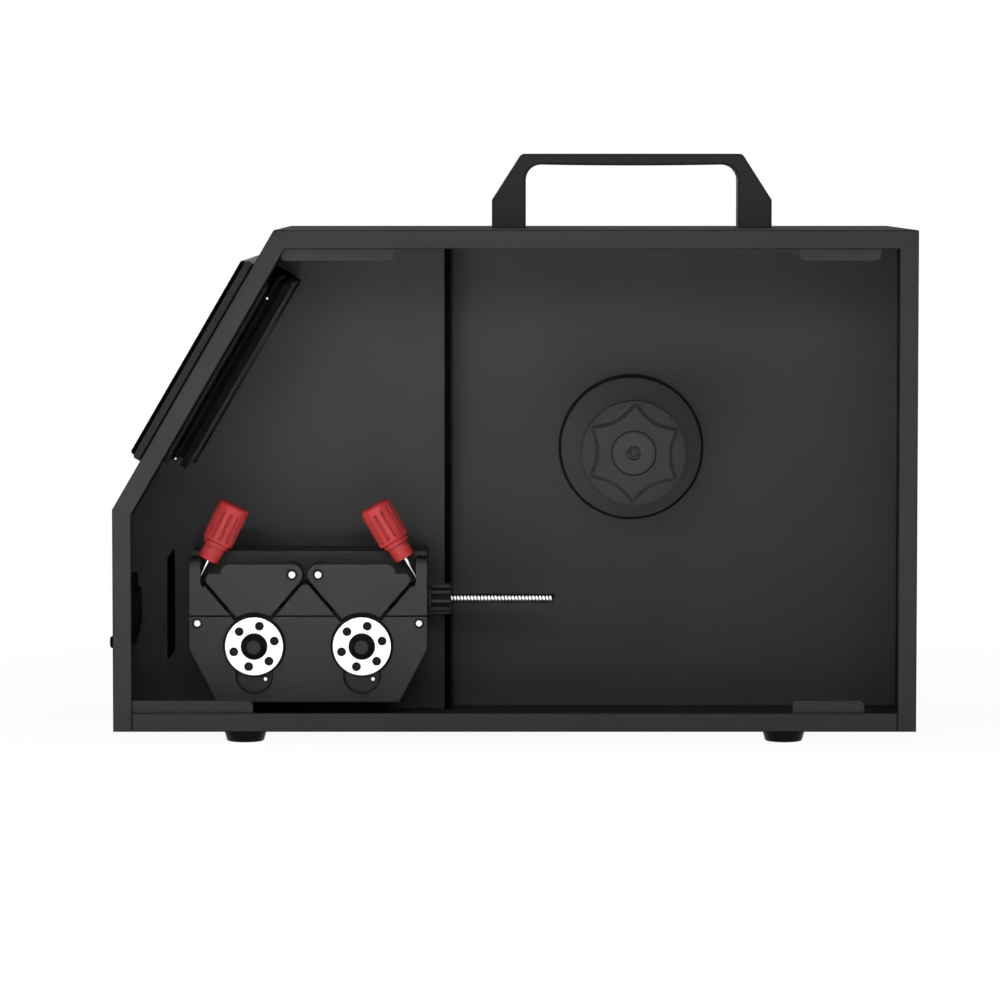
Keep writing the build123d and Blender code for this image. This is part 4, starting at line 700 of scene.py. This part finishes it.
@dataclass
class ControlPanel:
    """The operator panel on the slope."""

    centre: Point = (-203.9, 0.0, 244.0)
    along: Point = (0.503, 0.0, 0.8643)
    outward: Point = (-0.8643, 0.0, 0.503)
    sheet: float = 1.5
    clamp_size: Span = (136.6, 208.0)
    clamp_thick: float = 13.6
    clamp_hole: Span = (116.6, 184.6)
    clamp_corner: float = 6.0
    clamp_round: float = 4.2
    screw: Screw = Screw(0.75, 0.7, Drive.SOCKET)
    screw_spots: tuple[Point, ...] = ((58.6, 17.6, 21.9), (-60.5, 18.2, 21.9))
    seam_spots: Span = (33.5, -35.3)
    seam_half: float = 0.3
    seam_height: float = 0.12
    seam_round: float = 0.05
    back_start: float = 22.4
    back_thick: float = 4.6
    back_y: float = -98.0
    strip_height: float = 0.5
    strip_round: float = 0.15
    bead_length: float = 145.0
    bead_span: Span = (1.0, 1.9)
    bead_y: float = -99.95
    # A near-black strip behind the flange's inner edge: painted shade.
    shade_strip_along: Span = (-103.5, 88.0)
    shade_strip_span: Span = (-13.1, -11.8)
    shade_strip_y: float = -120.0

    def build(self) -> None:
        """Dresses the panel and builds the clamp frame, its screws and the thin lines round it.

        The line behind the flange's inner edge is a strip of painted shade.
        """
        dress(BLACK_PLASTIC, "display_bezel")
        dress(PANEL_PLASTIC, "display_housing")
        dress(GLASS, "display_glass")
        dress(TRIM_RUBBER, "display_gasket")
        self.clamp()
        self.screws()
        self.seams()
        self.strip("gasket_bead", about(self.bead_length / 2), self.bead_span, self.bead_y)
        self.strip("flange_shade_strip", self.shade_strip_along, self.shade_strip_span, self.shade_strip_y)

    def spot(self, along: float, inward: float) -> Vector:
        """Returns a place up the slope and into the case from the panel's centre."""
        return Vector(self.centre) + along * Vector(self.along) - inward * Vector(self.outward)

    def clamp(self) -> None:
        """Builds the clamp frame with a wide round on the outer rim of its inner side."""
        ring = Shape()
        long, broad = (size / 2 for size in self.clamp_hole)
        ring.outline(corners(*(about(size / 2) for size in self.clamp_size)))
        ring.round_corners(ring.bm.verts[:], self.clamp_corner, segments=5)
        outer = ring.bm.edges[:]
        bmesh.ops.delete(ring.bm, geom=ring.bm.faces[:], context="FACES_ONLY")
        hole = [(x, y, 0.0) for x, y in corners(about(long), about(broad))]
        inner = ring.path(hole, closed=True)[1]
        bmesh.ops.bridge_loops(ring.bm, edges=outer + inner)
        ring.raise_faces(self.clamp_thick)
        top = self.clamp_thick - NEAR
        ring.soften(self.clamp_round, lambda middle: middle.z > top and (
            abs(middle.x) > long + NEAR or abs(middle.y) > broad + NEAR), segments=5)
        inward = tuple(-part for part in self.outward)
        ring.place(aim(tuple(self.spot(0.0, self.sheet)), inward, self.along))
        ring.piece("clamp_frame", "case", CLAMP_PLASTIC, ["display_clamp"])

    def screws(self) -> None:
        """Puts two bright screws in the rim of the housing's front end."""
        spots = []
        for along, inward, depth in self.screw_spots:
            spot = self.spot(along, inward)
            spots.append((spot.x, depth - HALF_DEPTH, spot.z))
        self.screw.place("panel_screws", spots, FRONT, BRIGHT)

    def seams(self) -> None:
        """Lays two thin parting lines across the front edge of the housing's back plate."""
        half = self.back_thick / 2
        first, second = self.seam_spots
        line = Shape().outline(corners(about(self.seam_half), about(half)))
        line.raise_faces(self.seam_height).soften(self.seam_round)
        spot = self.spot(first, self.back_start + half)
        line.copies([(second - first, 0, 0)])
        line.place(aim((spot.x, self.back_y, spot.z), FRONT, self.along))
        line.piece("housing_seams", "case", GLASS)

    def strip(self, name: str, along: Span, span: Span, depth: float) -> None:
        """Lays a thin black strip along the slope, facing the front.

        At the gasket it is rubber; behind the flange's edge it is painted shade.

        Args:
            name: the piece's name.
            along: where it starts and ends on the slope, from the panel's middle.
            span: its two sides, outward from the slope's face.
            depth: the Y of its back.
        """
        strip = Shape().outline(corners(along, span)).raise_faces(self.strip_height)
        strip.soften(self.strip_round)
        strip.place(aim((self.centre[0], depth, self.centre[2]), FRONT, self.along))
        strip.piece(name, "case", TRIM_RUBBER)


@dataclass
class SpoolHolder:
    """Axle, hub, star nut and brake screw."""

    centre_x: float = 78.1
    centre_z: float = 183.6
    back_y: float = 14.7
    flange: Profile = ((8.05, 0), (48.5, 0), (48.5, 1.5), (47.0, 6.0), (46.4, 7.0), (25.0, 7.0))
    flange_folds: Span = (2.0, 7.1)
    hub_round: float = 0.5
    barrel_radius: float = 25.0
    barrel_end: float = 63.0
    thread_radius: float = 20.0
    thread_end: float = 72.0
    thread_pitch: float = 1.5
    thread_cut: float = 0.8
    thread_gap: float = 0.5
    core: Profile = ((14.3, 72.0), (14.3, 73.2), (4.25, 73.2), (4.25, 63.0), (8.05, 63.0))
    brake_head: Profile = (
        (0, 72.6), (2.3, 72.6), (2.5, 73.2), (4.0, 73.2), (4.0, 63.0), (0, 63.0))
    brake_round: float = 0.15
    nut_radius: float = 34.3
    nut_bore: float = 20.05
    nut_rim: float = 9.0
    nut_round: float = 0.25
    star_tip: float = 32.6
    star_waist: float = 24.4
    star_points: int = 6
    star_hole: float = 14.6
    star_face: float = 2.0
    star_sink: float = 0.2
    star_cuts: int = 11
    star_round: float = 1.3
    star_step: float = 0.8
    star_shrink: float = 0.948
    star_turn: float = -1.7

    def build(self) -> None:
        """Dresses the axle and builds the hub, the nut and the brake screw."""
        dress(LIGHT_METAL, "spool_axle")
        self.hub()
        self.nut()
        self.brake()

    def forward(self, depth: float = 0.0) -> Matrix:
        """Returns the place on the axle that far in front of the flange's back."""
        return aim((self.centre_x, self.back_y - depth, self.centre_z), FRONT)

    def hub(self) -> None:
        """Builds the hub with a rounded flange and a cut thread."""
        start = self.barrel_end + self.thread_gap
        turns = int((self.thread_end - start - self.thread_gap) / self.thread_pitch)
        thread = [(self.thread_radius - cut, start + (turn + part) * self.thread_pitch)
                  for turn in range(turns) for part, cut in ((0.0, 0.0), (0.5, self.thread_cut))]
        profile = [*self.flange, (self.barrel_radius, self.barrel_end),
                   (self.thread_radius, self.barrel_end), *thread,
                   (self.thread_radius, self.thread_end), *self.core]
        hub = Shape().lathe(profile, steps=96, closed=True)
        low, high = self.flange_folds
        hub.soften(self.hub_round, lambda middle: low < middle.z < high
                   and middle.xy.length > self.barrel_radius + NEAR)
        hub.soften(self.hub_round, lambda middle: middle.z > self.thread_end)
        hub.place(self.forward()).piece("hub_moulded", "spool_hub", FLANGE_PLASTIC, ["spool_hub"])

    def nut(self) -> None:
        """Builds the nut: a rim and a raised six-pointed star with hollow sides."""
        rim = corners((self.nut_bore, self.nut_radius), (0, self.nut_rim))
        nut = self.star().lathe(rim, steps=96, closed=True)
        nut.soften(self.nut_round, lambda middle: middle.xy.length > self.nut_radius - NEAR)
        nut.place(self.forward(self.barrel_end) @ spin(self.star_turn))
        nut.piece("star_nut", "spool_nut", HUB_PLASTIC, ["spool_nut"])

    def star(self) -> Shape:
        """Returns the star, which stands on the rim and has a step round its face."""
        star = Shape()
        bmesh.ops.create_circle(star.bm, cap_ends=True, radius=self.star_tip,
                                segments=self.star_points)
        bmesh.ops.subdivide_edges(star.bm, edges=star.bm.edges[:], cuts=self.star_cuts)
        flat = self.star_tip * math.cos(math.pi / self.star_points)
        for vert in star.bm.verts:
            across = (vert.co.xy.length ** 2 - flat ** 2) / (self.star_tip ** 2 - flat ** 2)
            vert.co *= 1 - (1 - self.star_waist / flat) * (1 - across)
        tips = [vert for vert in star.bm.verts if vert.co.length > self.star_tip - NEAR]
        star.round_corners(tips, self.star_round, segments=4)
        bmesh.ops.delete(star.bm, geom=star.bm.faces[:], context="FACES_ONLY")
        count = len(star.bm.verts)
        bmesh.ops.create_circle(star.bm, radius=self.star_hole, segments=count)
        bmesh.ops.bridge_loops(star.bm, edges=star.bm.edges[:])
        star.raise_faces(self.star_face + self.star_sink - self.star_step)
        top = [face for face in star.bm.faces if face.normal.z > PARALLEL]
        for shrink, height in ((self.star_shrink, 0.0), (1.0, self.star_step)):
            grown = star.lift(top, height)
            outer = [v for v in verts_of(grown) if v.co.xy.length > self.star_hole + NEAR]
            bmesh.ops.scale(star.bm, vec=(shrink, shrink, 1), verts=outer)
            top = [item for item in grown if isinstance(item, bmesh.types.BMFace)]
        return star.place(Matrix.Translation((0, 0, self.nut_rim - self.star_sink)))

    def brake(self) -> None:
        """Builds the brake screw with its round socket."""
        screw = Shape().lathe(self.brake_head, steps=48)
        screw.soften(self.brake_round, lambda middle: middle.z > self.thread_end)
        screw.place(self.forward()).piece("brake_head", "case", BRAKE_STEEL, ["brake_screw"])


@dataclass
class TensionBolt:
    """One tension knob on its leaning rod; its own heights start at its collar."""

    side: Side
    eye: Point
    lean: float
    collar_start: float
    bore: float = 1.55
    bore_end: float = 45.0
    knob: Profile = (
        (7.15, 0), (7.15, 10.0), (8.75, 10.0), (8.75, 13.0), (9.85, 13.0), (10.55, 13.9),
        (10.55, 15.5), (10.55, 16.7), (10.55, 33.3), (10.55, 34.5), (10.55, 38.5), (8.85, 40.2),
        (0, 40.2))
    ring_radius: float = 8.75
    edge_round: float = 0.25
    groove_span: Span = (15.5, 34.5)
    groove_walls: Span = (0.18, 0.22)
    groove_depth: float = 0.95
    groove_columns: int = 2
    grooves: int = 12
    columns: int = 5
    turn: float = 0.0

    def build(self) -> None:
        """Builds the knob, whose grip has narrow rounded grooves."""
        name, low = self.side.name, self.collar_start
        dress(BRIGHT, f"tension_rod_{name}")
        first, last = (low + height for height in self.groove_span)
        profile = ((0, self.bore_end), (self.bore, self.bore_end), (self.bore, low),
                   *((radius, low + height) for radius, height in self.knob))
        knob = Shape().lathe(profile, self.columns * self.grooves)
        knob.soften(self.edge_round, lambda middle: not first - NEAR < middle.z < last + NEAR)
        hollow = self.hollow(knob, (first, last))
        for wall, depth in zip(self.groove_walls, (0.0, -self.groove_depth)):
            bmesh.ops.inset_region(knob.bm, faces=hollow, thickness=wall, depth=depth,
                                   use_even_offset=True)
        lean = math.radians(self.lean)
        along = (-self.side.value * math.sin(lean), 0.0, math.cos(lean))
        knob.place(aim(self.eye, along) @ spin(self.turn))
        knob.piece(f"knob_grip_{name}", f"knob_{name}", RED_PLASTIC, [f"tension_knob_{name}"],
                   smooth=2, sharp=180.0)

    def hollow(self, knob: Shape, span: Span) -> list[bmesh.types.BMFace]:
        """Returns the faces of the grip that sink into grooves, between two heights."""
        step = math.tau / (self.columns * self.grooves)
        found = []
        for face in knob.bm.faces:
            middle = face.calc_center_median()
            column = int((math.atan2(middle.y, middle.x) % math.tau) / step)
            outside = middle.xy.length > self.ring_radius and span[0] < middle.z < span[1]
            if outside and column % self.columns < self.groove_columns:
                found.append(face)
        return found


@dataclass
class SpringGuide:
    """The wound guide that leads the wire into the feed."""

    start_x: float = -47.2
    end_x: float = 26.4
    wire_y: float = -52.0
    wire_z: float = 88.0
    wire: float = 2.0
    wire_facets: int = 10
    outside: float = 6.0
    pitch: float = 2.24
    facets: int = 22

    def build(self) -> None:
        """Winds the spring by spinning a ring of wire along its axis."""
        coil = Shape()
        middle = (self.outside - self.wire) / 2
        steps = int((self.end_x - self.start_x - self.wire) / self.pitch * self.facets)
        tilt = Matrix.Rotation(math.atan2(self.pitch, math.tau * middle), 4, "X")
        upright = tilt @ Matrix.Rotation(math.pi / 2, 4, "X")
        bmesh.ops.create_circle(coil.bm, cap_ends=True, radius=self.wire / 2,
                                segments=self.wire_facets,
                                matrix=Matrix.Translation((middle, 0, 0)) @ upright)
        bmesh.ops.spin(coil.bm, geom=coil.everything(), cent=ORIGIN, axis=UP, steps=steps,
                       dvec=(0, 0, self.pitch / self.facets),
                       angle=math.tau * steps / self.facets)
        coil.weld().place(aim((self.start_x + self.wire / 2, self.wire_y, self.wire_z), RIGHT))
        coil.piece("spring_coil", "case", SPRING_STEEL, ["spring_guide"])


@dataclass
class InletConnector:
    """The ribbed connector that holds the spring guide."""

    start: Point = (-56.9, -52.0, 87.7)
    radius: float = 8.4
    length: float = 15.4
    rib_radius: float = 10.1
    rib_sink: float = 0.6
    rib_start: float = 1.9
    rib_width: float = 1.9
    rib_end: float = 0.95
    rib_round: float = 0.3
    ribs: int = 10
    rib_turn: float = 4.5
    barrel: Profile = (
        (3.25, 9.4), (1.2, 9.4), (1.2, -8.0), (5.5, -8.0), (5.5, 0), (8.1, 0), (8.4, 0.3),
        (8.4, 15.0), (8.0, 15.4), (3.65, 15.4), (3.25, 15.0))
    # A thin near-black sleeve under the ribs: painted shade between them.
    sleeve: float = 0.12
    sleeve_span: Span = (2.3, 14.9)

    def build(self) -> None:
        """Builds the barrel and its ribs, which start round and end flush.

        A near-black sleeve under the ribs is painted shade between them.
        """
        root, facing = self.radius - self.rib_sink, aim(self.start, RIGHT, FRONT)
        body = self.rib(root).place(aim((root, 0, 0), RIGHT, UP)).wheel(self.ribs)
        body.lathe(self.barrel, steps=80, closed=True).place(facing @ spin(self.rib_turn))
        body.piece("connector_body", "case", CONNECTOR_PLASTIC, ["inlet_connector"])
        ring = corners((root, self.radius + self.sleeve), self.sleeve_span)
        gaps = Shape().lathe(ring, steps=80, closed=True)
        gaps.place(facing).piece("connector_gaps", "case", BLACK_AND_SHADE)

    def rib(self, root: float) -> Shape:
        """Returns one rib, laid along X with its root at zero."""
        half = self.rib_width / 2
        rib = Shape().outline(corners((self.rib_start, self.length), about(half)))
        ends = [vert for vert in rib.bm.verts if vert.co.x < self.rib_start + NEAR]
        rib.round_corners(ends, self.rib_end * half, segments=6)
        rib.raise_faces(self.rib_radius - root)
        return rib.soften(self.rib_round, lambda middle: middle.z > NEAR)


@dataclass
class WireFeed:
    """The four-roll feed: casting, drive train, pressure arms, bolts and guides."""

    drive_x: Span = (-169.85, -99.55)
    drive_z: float = 58.1
    cap_y: float = -72.0
    cap: Profile = ((0, 0), (8.7, 0), (8.7, 0.6), (4.8, 7.0), (4.4, 6.5), (0, 6.5))
    cap_round: float = 0.15
    cap_face: Profile = ((0, 6.4), (4.65, 6.4), (4.65, 6.8), (4.45, 7.0), (0, 7.0))
    pivot_spots: tuple[Point, Point] = ((-145.2, -68.6, 104.7), (-128.1, -68.6, 104.7))
    pivot_ring: tuple[Span, float] = ((2.3, 3.2), 0.35)
    screw_spots: tuple[Point, Point] = ((-207.1, -68.0, 72.8), (-62.3, -68.0, 72.8))
    screw_shade_ring: tuple[Span, float] = ((2.25, 3.2), 0.2)
    ring_round: float = 0.3
    bolts: tuple[TensionBolt, ...] = (
        TensionBolt(Side.left, (-208.554, -56.0, 96.705), 26.0, 18.8),
        TensionBolt(Side.right, (-61.164, -56.0, 96.857), 30.6, 20.9, turn=11.0))

    def build(self) -> None:
        """Dresses the castings and builds the turned and moulded details."""
        dress(CASTING, "feed_body", "feed_cover", "press_arm_left", "press_arm_right")
        dress(BRIGHT, "cover_screws", "dowel_pins", "arm_pivot_pins", "bolt_pivot_pins",
              "press_pin_left", "press_pin_right")
        dress(DARK_STEEL, "drive_pinion", "wire_guides")
        for side, x in zip(Side, self.drive_x):
            self.drive(side.name, (x, self.cap_y, self.drive_z))
        self.rings("pivot_rings", self.pivot_spots, *self.pivot_ring)
        self.rings("screw_shade_rings", self.screw_spots, *self.screw_shade_ring)
        for bolt in self.bolts:
            bolt.build()
        InletConnector().build()
        SpringGuide().build()

    def drive(self, side: str, centre: Point) -> None:
        """Dresses one drive axle and builds its cap, whose cone is near black as painted shade,
        with a lighter end face.
        """
        steel = replace(PLATE_STEEL, name=f"turned_steel_{side}", centre=centre, face=centre[1])
        dress(steel, f"roll_plate_{side}")
        dress(DARK_STEEL, f"drive_roll_{side}", f"drive_shaft_{side}", f"press_roll_{side}")
        cap = Shape().lathe(self.cap, steps=48).soften(self.cap_round).place(aim(centre, FRONT))
        cap.piece(f"cap_turned_{side}", f"drive_{side}", BLACK_AND_SHADE, [f"roll_cap_{side}"])
        face = Shape().lathe(self.cap_face, steps=48).place(aim(centre, FRONT))
        face.piece(f"cap_face_{side}", f"drive_{side}", HUB_PLASTIC)

    def rings(self, name: str, spots: Sequence[Point], radii: Span, height: float) -> None:
        """Puts near-black rings round the fronts of pins and screws: painted shade where they meet
        the casting.
        """
        ring = Shape().lathe(corners(radii, (0, height)), steps=40, closed=True)
        ring.soften(self.ring_round * height)
        ring.spread(spots, FRONT).piece(name, "case", BLACK_AND_SHADE)


@dataclass
class LeftWall:
    """Wire outlet and jog button."""

    jog_y: float = -82.0
    jog_z: float = 62.0
    jog: Profile = ((0, -6.0), (3.9, -6.0), (3.9, 3.9), (3.0, 4.8), (2.2, 4.8), (0, 4.45))
    jog_round: float = 0.4

    def build(self) -> None:
        """Dresses the outlet and the switch, and builds the button."""
        dress(BLACK_AND_SHADE, "outlet_bush", "jog_switch")
        button = Shape().lathe(self.jog, steps=40)
        button.soften(self.jog_round, lambda middle: middle.z > 0, segments=3)
        button.place(aim((-HALF_WIDTH, self.jog_y, self.jog_z), LEFT))
        button.piece("jog_cap", "jog_button", TRIM_RUBBER, ["jog_button"])


@dataclass
class RearChamber:
    """Motor, gearbox, electronics and the fittings in the rear cover."""

    alloy: tuple[str, ...] = ("motor_gearbox", "feed_motor", "power_supply", "control_socket")
    plastic: tuple[str, ...] = ("power_inlet", "switch_frame", "switch_rocker")

    def build(self) -> None:
        """Dresses the chamber's nodes."""
        dress(LIGHT_METAL, *self.alloy)
        dress(BLACK_PLASTIC, *self.plastic)
        dress(BOARD, "control_board")


@dataclass(frozen=True)
class Softbox:
    """A rectangular lamp that faces a target; places and sizes are in metres."""

    name: str
    spot: Point
    target: Point
    size: Span
    watts: float
    spread: float = 180.0

    def hang(self) -> None:
        """Adds the lamp to the scene."""
        data = bpy.data.lights.new(self.name, "AREA")
        data.shape, data.energy, data.spread = "RECTANGLE", self.watts, math.radians(self.spread)
        data.size, data.size_y = self.size
        lamp = stand(self.name, data)
        lamp.location = self.spot
        facing = Vector(self.target) - Vector(self.spot)
        lamp.rotation_euler = facing.to_track_quat("-Z", "Y").to_euler()


@dataclass
class Studio:
    """White room, soft light and the camera."""

    eye: Point = (-9.4, -3169.8, 366.4)
    tilt: float = 86.076
    lens: float = 171.72
    sensor: float = 36.0
    clip_end: float = 50.0
    ambient: float = 0.03
    floor_size: float = 6.0
    floor_tone: float = 0.86
    floor_shadow: float = 0.05
    shadow_reach: Span = (0.28, 0.7)
    lamps: tuple[Softbox, ...] = (
        Softbox("front_softbox", (-0.3, -2.9, 1.1), (0.0, 0.0, 0.2), (2.6, 0.7), 41.0),
        Softbox("left_softbox", (-0.8, -1.7, 0.2), (0.0, 0.0, 0.2), (1.6, 0.4), 3.6),
        Softbox("floor_wash", (0.0, -0.65, 1.4), (0.0, -0.651, 0.0), (0.9, 0.5), 9.0, 40.0),
        Softbox("left_floor_wash", (-0.55, -0.65, 1.4), (-0.55, -0.651, 0.0), (0.6, 0.5), 6.0,
                40.0),
        Softbox("rear_left_softbox", (-2.2, 1.7, 1.0), (0.0, 0.0, 0.15), (1.6, 1.2), 40.0),
        Softbox("rear_right_softbox", (2.2, 1.7, 1.0), (0.0, 0.0, 0.15), (1.6, 1.2), 40.0))

    def build(self) -> None:
        """Sets the view, the camera, the world, the floor and the lamps."""
        bpy.context.scene.view_settings.view_transform = "Standard"
        self.camera()
        self.world()
        self.floor()
        for lamp in self.lamps:
            lamp.hang()

    def camera(self) -> None:
        """Puts the camera where the picture was taken from."""
        data = bpy.data.cameras.new("picture_camera")
        data.lens, data.sensor_width, data.clip_end = self.lens, self.sensor, self.clip_end
        camera = stand("picture_camera", data)
        camera.location = Vector(self.eye) * MM
        camera.rotation_euler = (math.radians(self.tilt), 0.0, 0.0)
        bpy.context.scene.camera = camera

    def world(self) -> None:
        """Shows white to the camera, to gloss and through glass, and lights with a plain grey."""
        world = bpy.data.worlds.new("studio_world")
        bpy.context.scene.world = world
        tree = Tree(world)
        strength = tree.remap(tree.white_rays(), self.ambient, 1.0, (0.0, 1.0))
        sky = tree.add("Background", {"Color": (1.0, 1.0, 1.0, 1.0), "Strength": strength})
        tree.add("OutputWorld", {"Surface": sky.outputs[0]})

    def floor(self) -> None:
        """Lays a white floor that keeps a faint shadow, which fades away from the object."""
        mesh = bpy.data.meshes.new("studio_floor")
        ground = bmesh.new()
        bmesh.ops.create_grid(ground, x_segments=1, y_segments=1, size=self.floor_size)
        ground.to_mesh(mesh)
        ground.free()
        floor = stand("studio_floor", mesh)
        material = bpy.data.materials.new("white_floor")
        tree = Tree(material)
        place = tree.add("TexCoord").outputs["Object"]
        away = tree.add("VectorMath", {0: place}, operation="LENGTH").outputs["Value"]
        glowing = tree.remap(away, 1.0 - self.floor_shadow, 1.0, self.shadow_reach)
        share = tree.maths("MULTIPLY", tree.white_rays(), glowing)
        matt = tree.add("BsdfDiffuse", {"Color": (*[self.floor_tone] * 3, 1.0)}).outputs[0]
        glow = tree.add("Emission").outputs[0]
        mix = tree.add("MixShader", {0: share, 1: matt, 2: glow}).outputs[0]
        tree.add("OutputMaterial", {"Surface": mix})
        mesh.materials.append(material)


def main() -> None:
    """Builds and dresses every sub-assembly, then the studio."""
    logging.basicConfig(level=logging.INFO, format="%(name)s: %(message)s")
    for part in (Case, ControlPanel, SpoolHolder, WireFeed, LeftWall, RearChamber, Studio):
        LOG.info("building %s", part.__name__)
        part().build()
    bpy.context.view_layer.update()


if __name__ == "__main__":
    main()
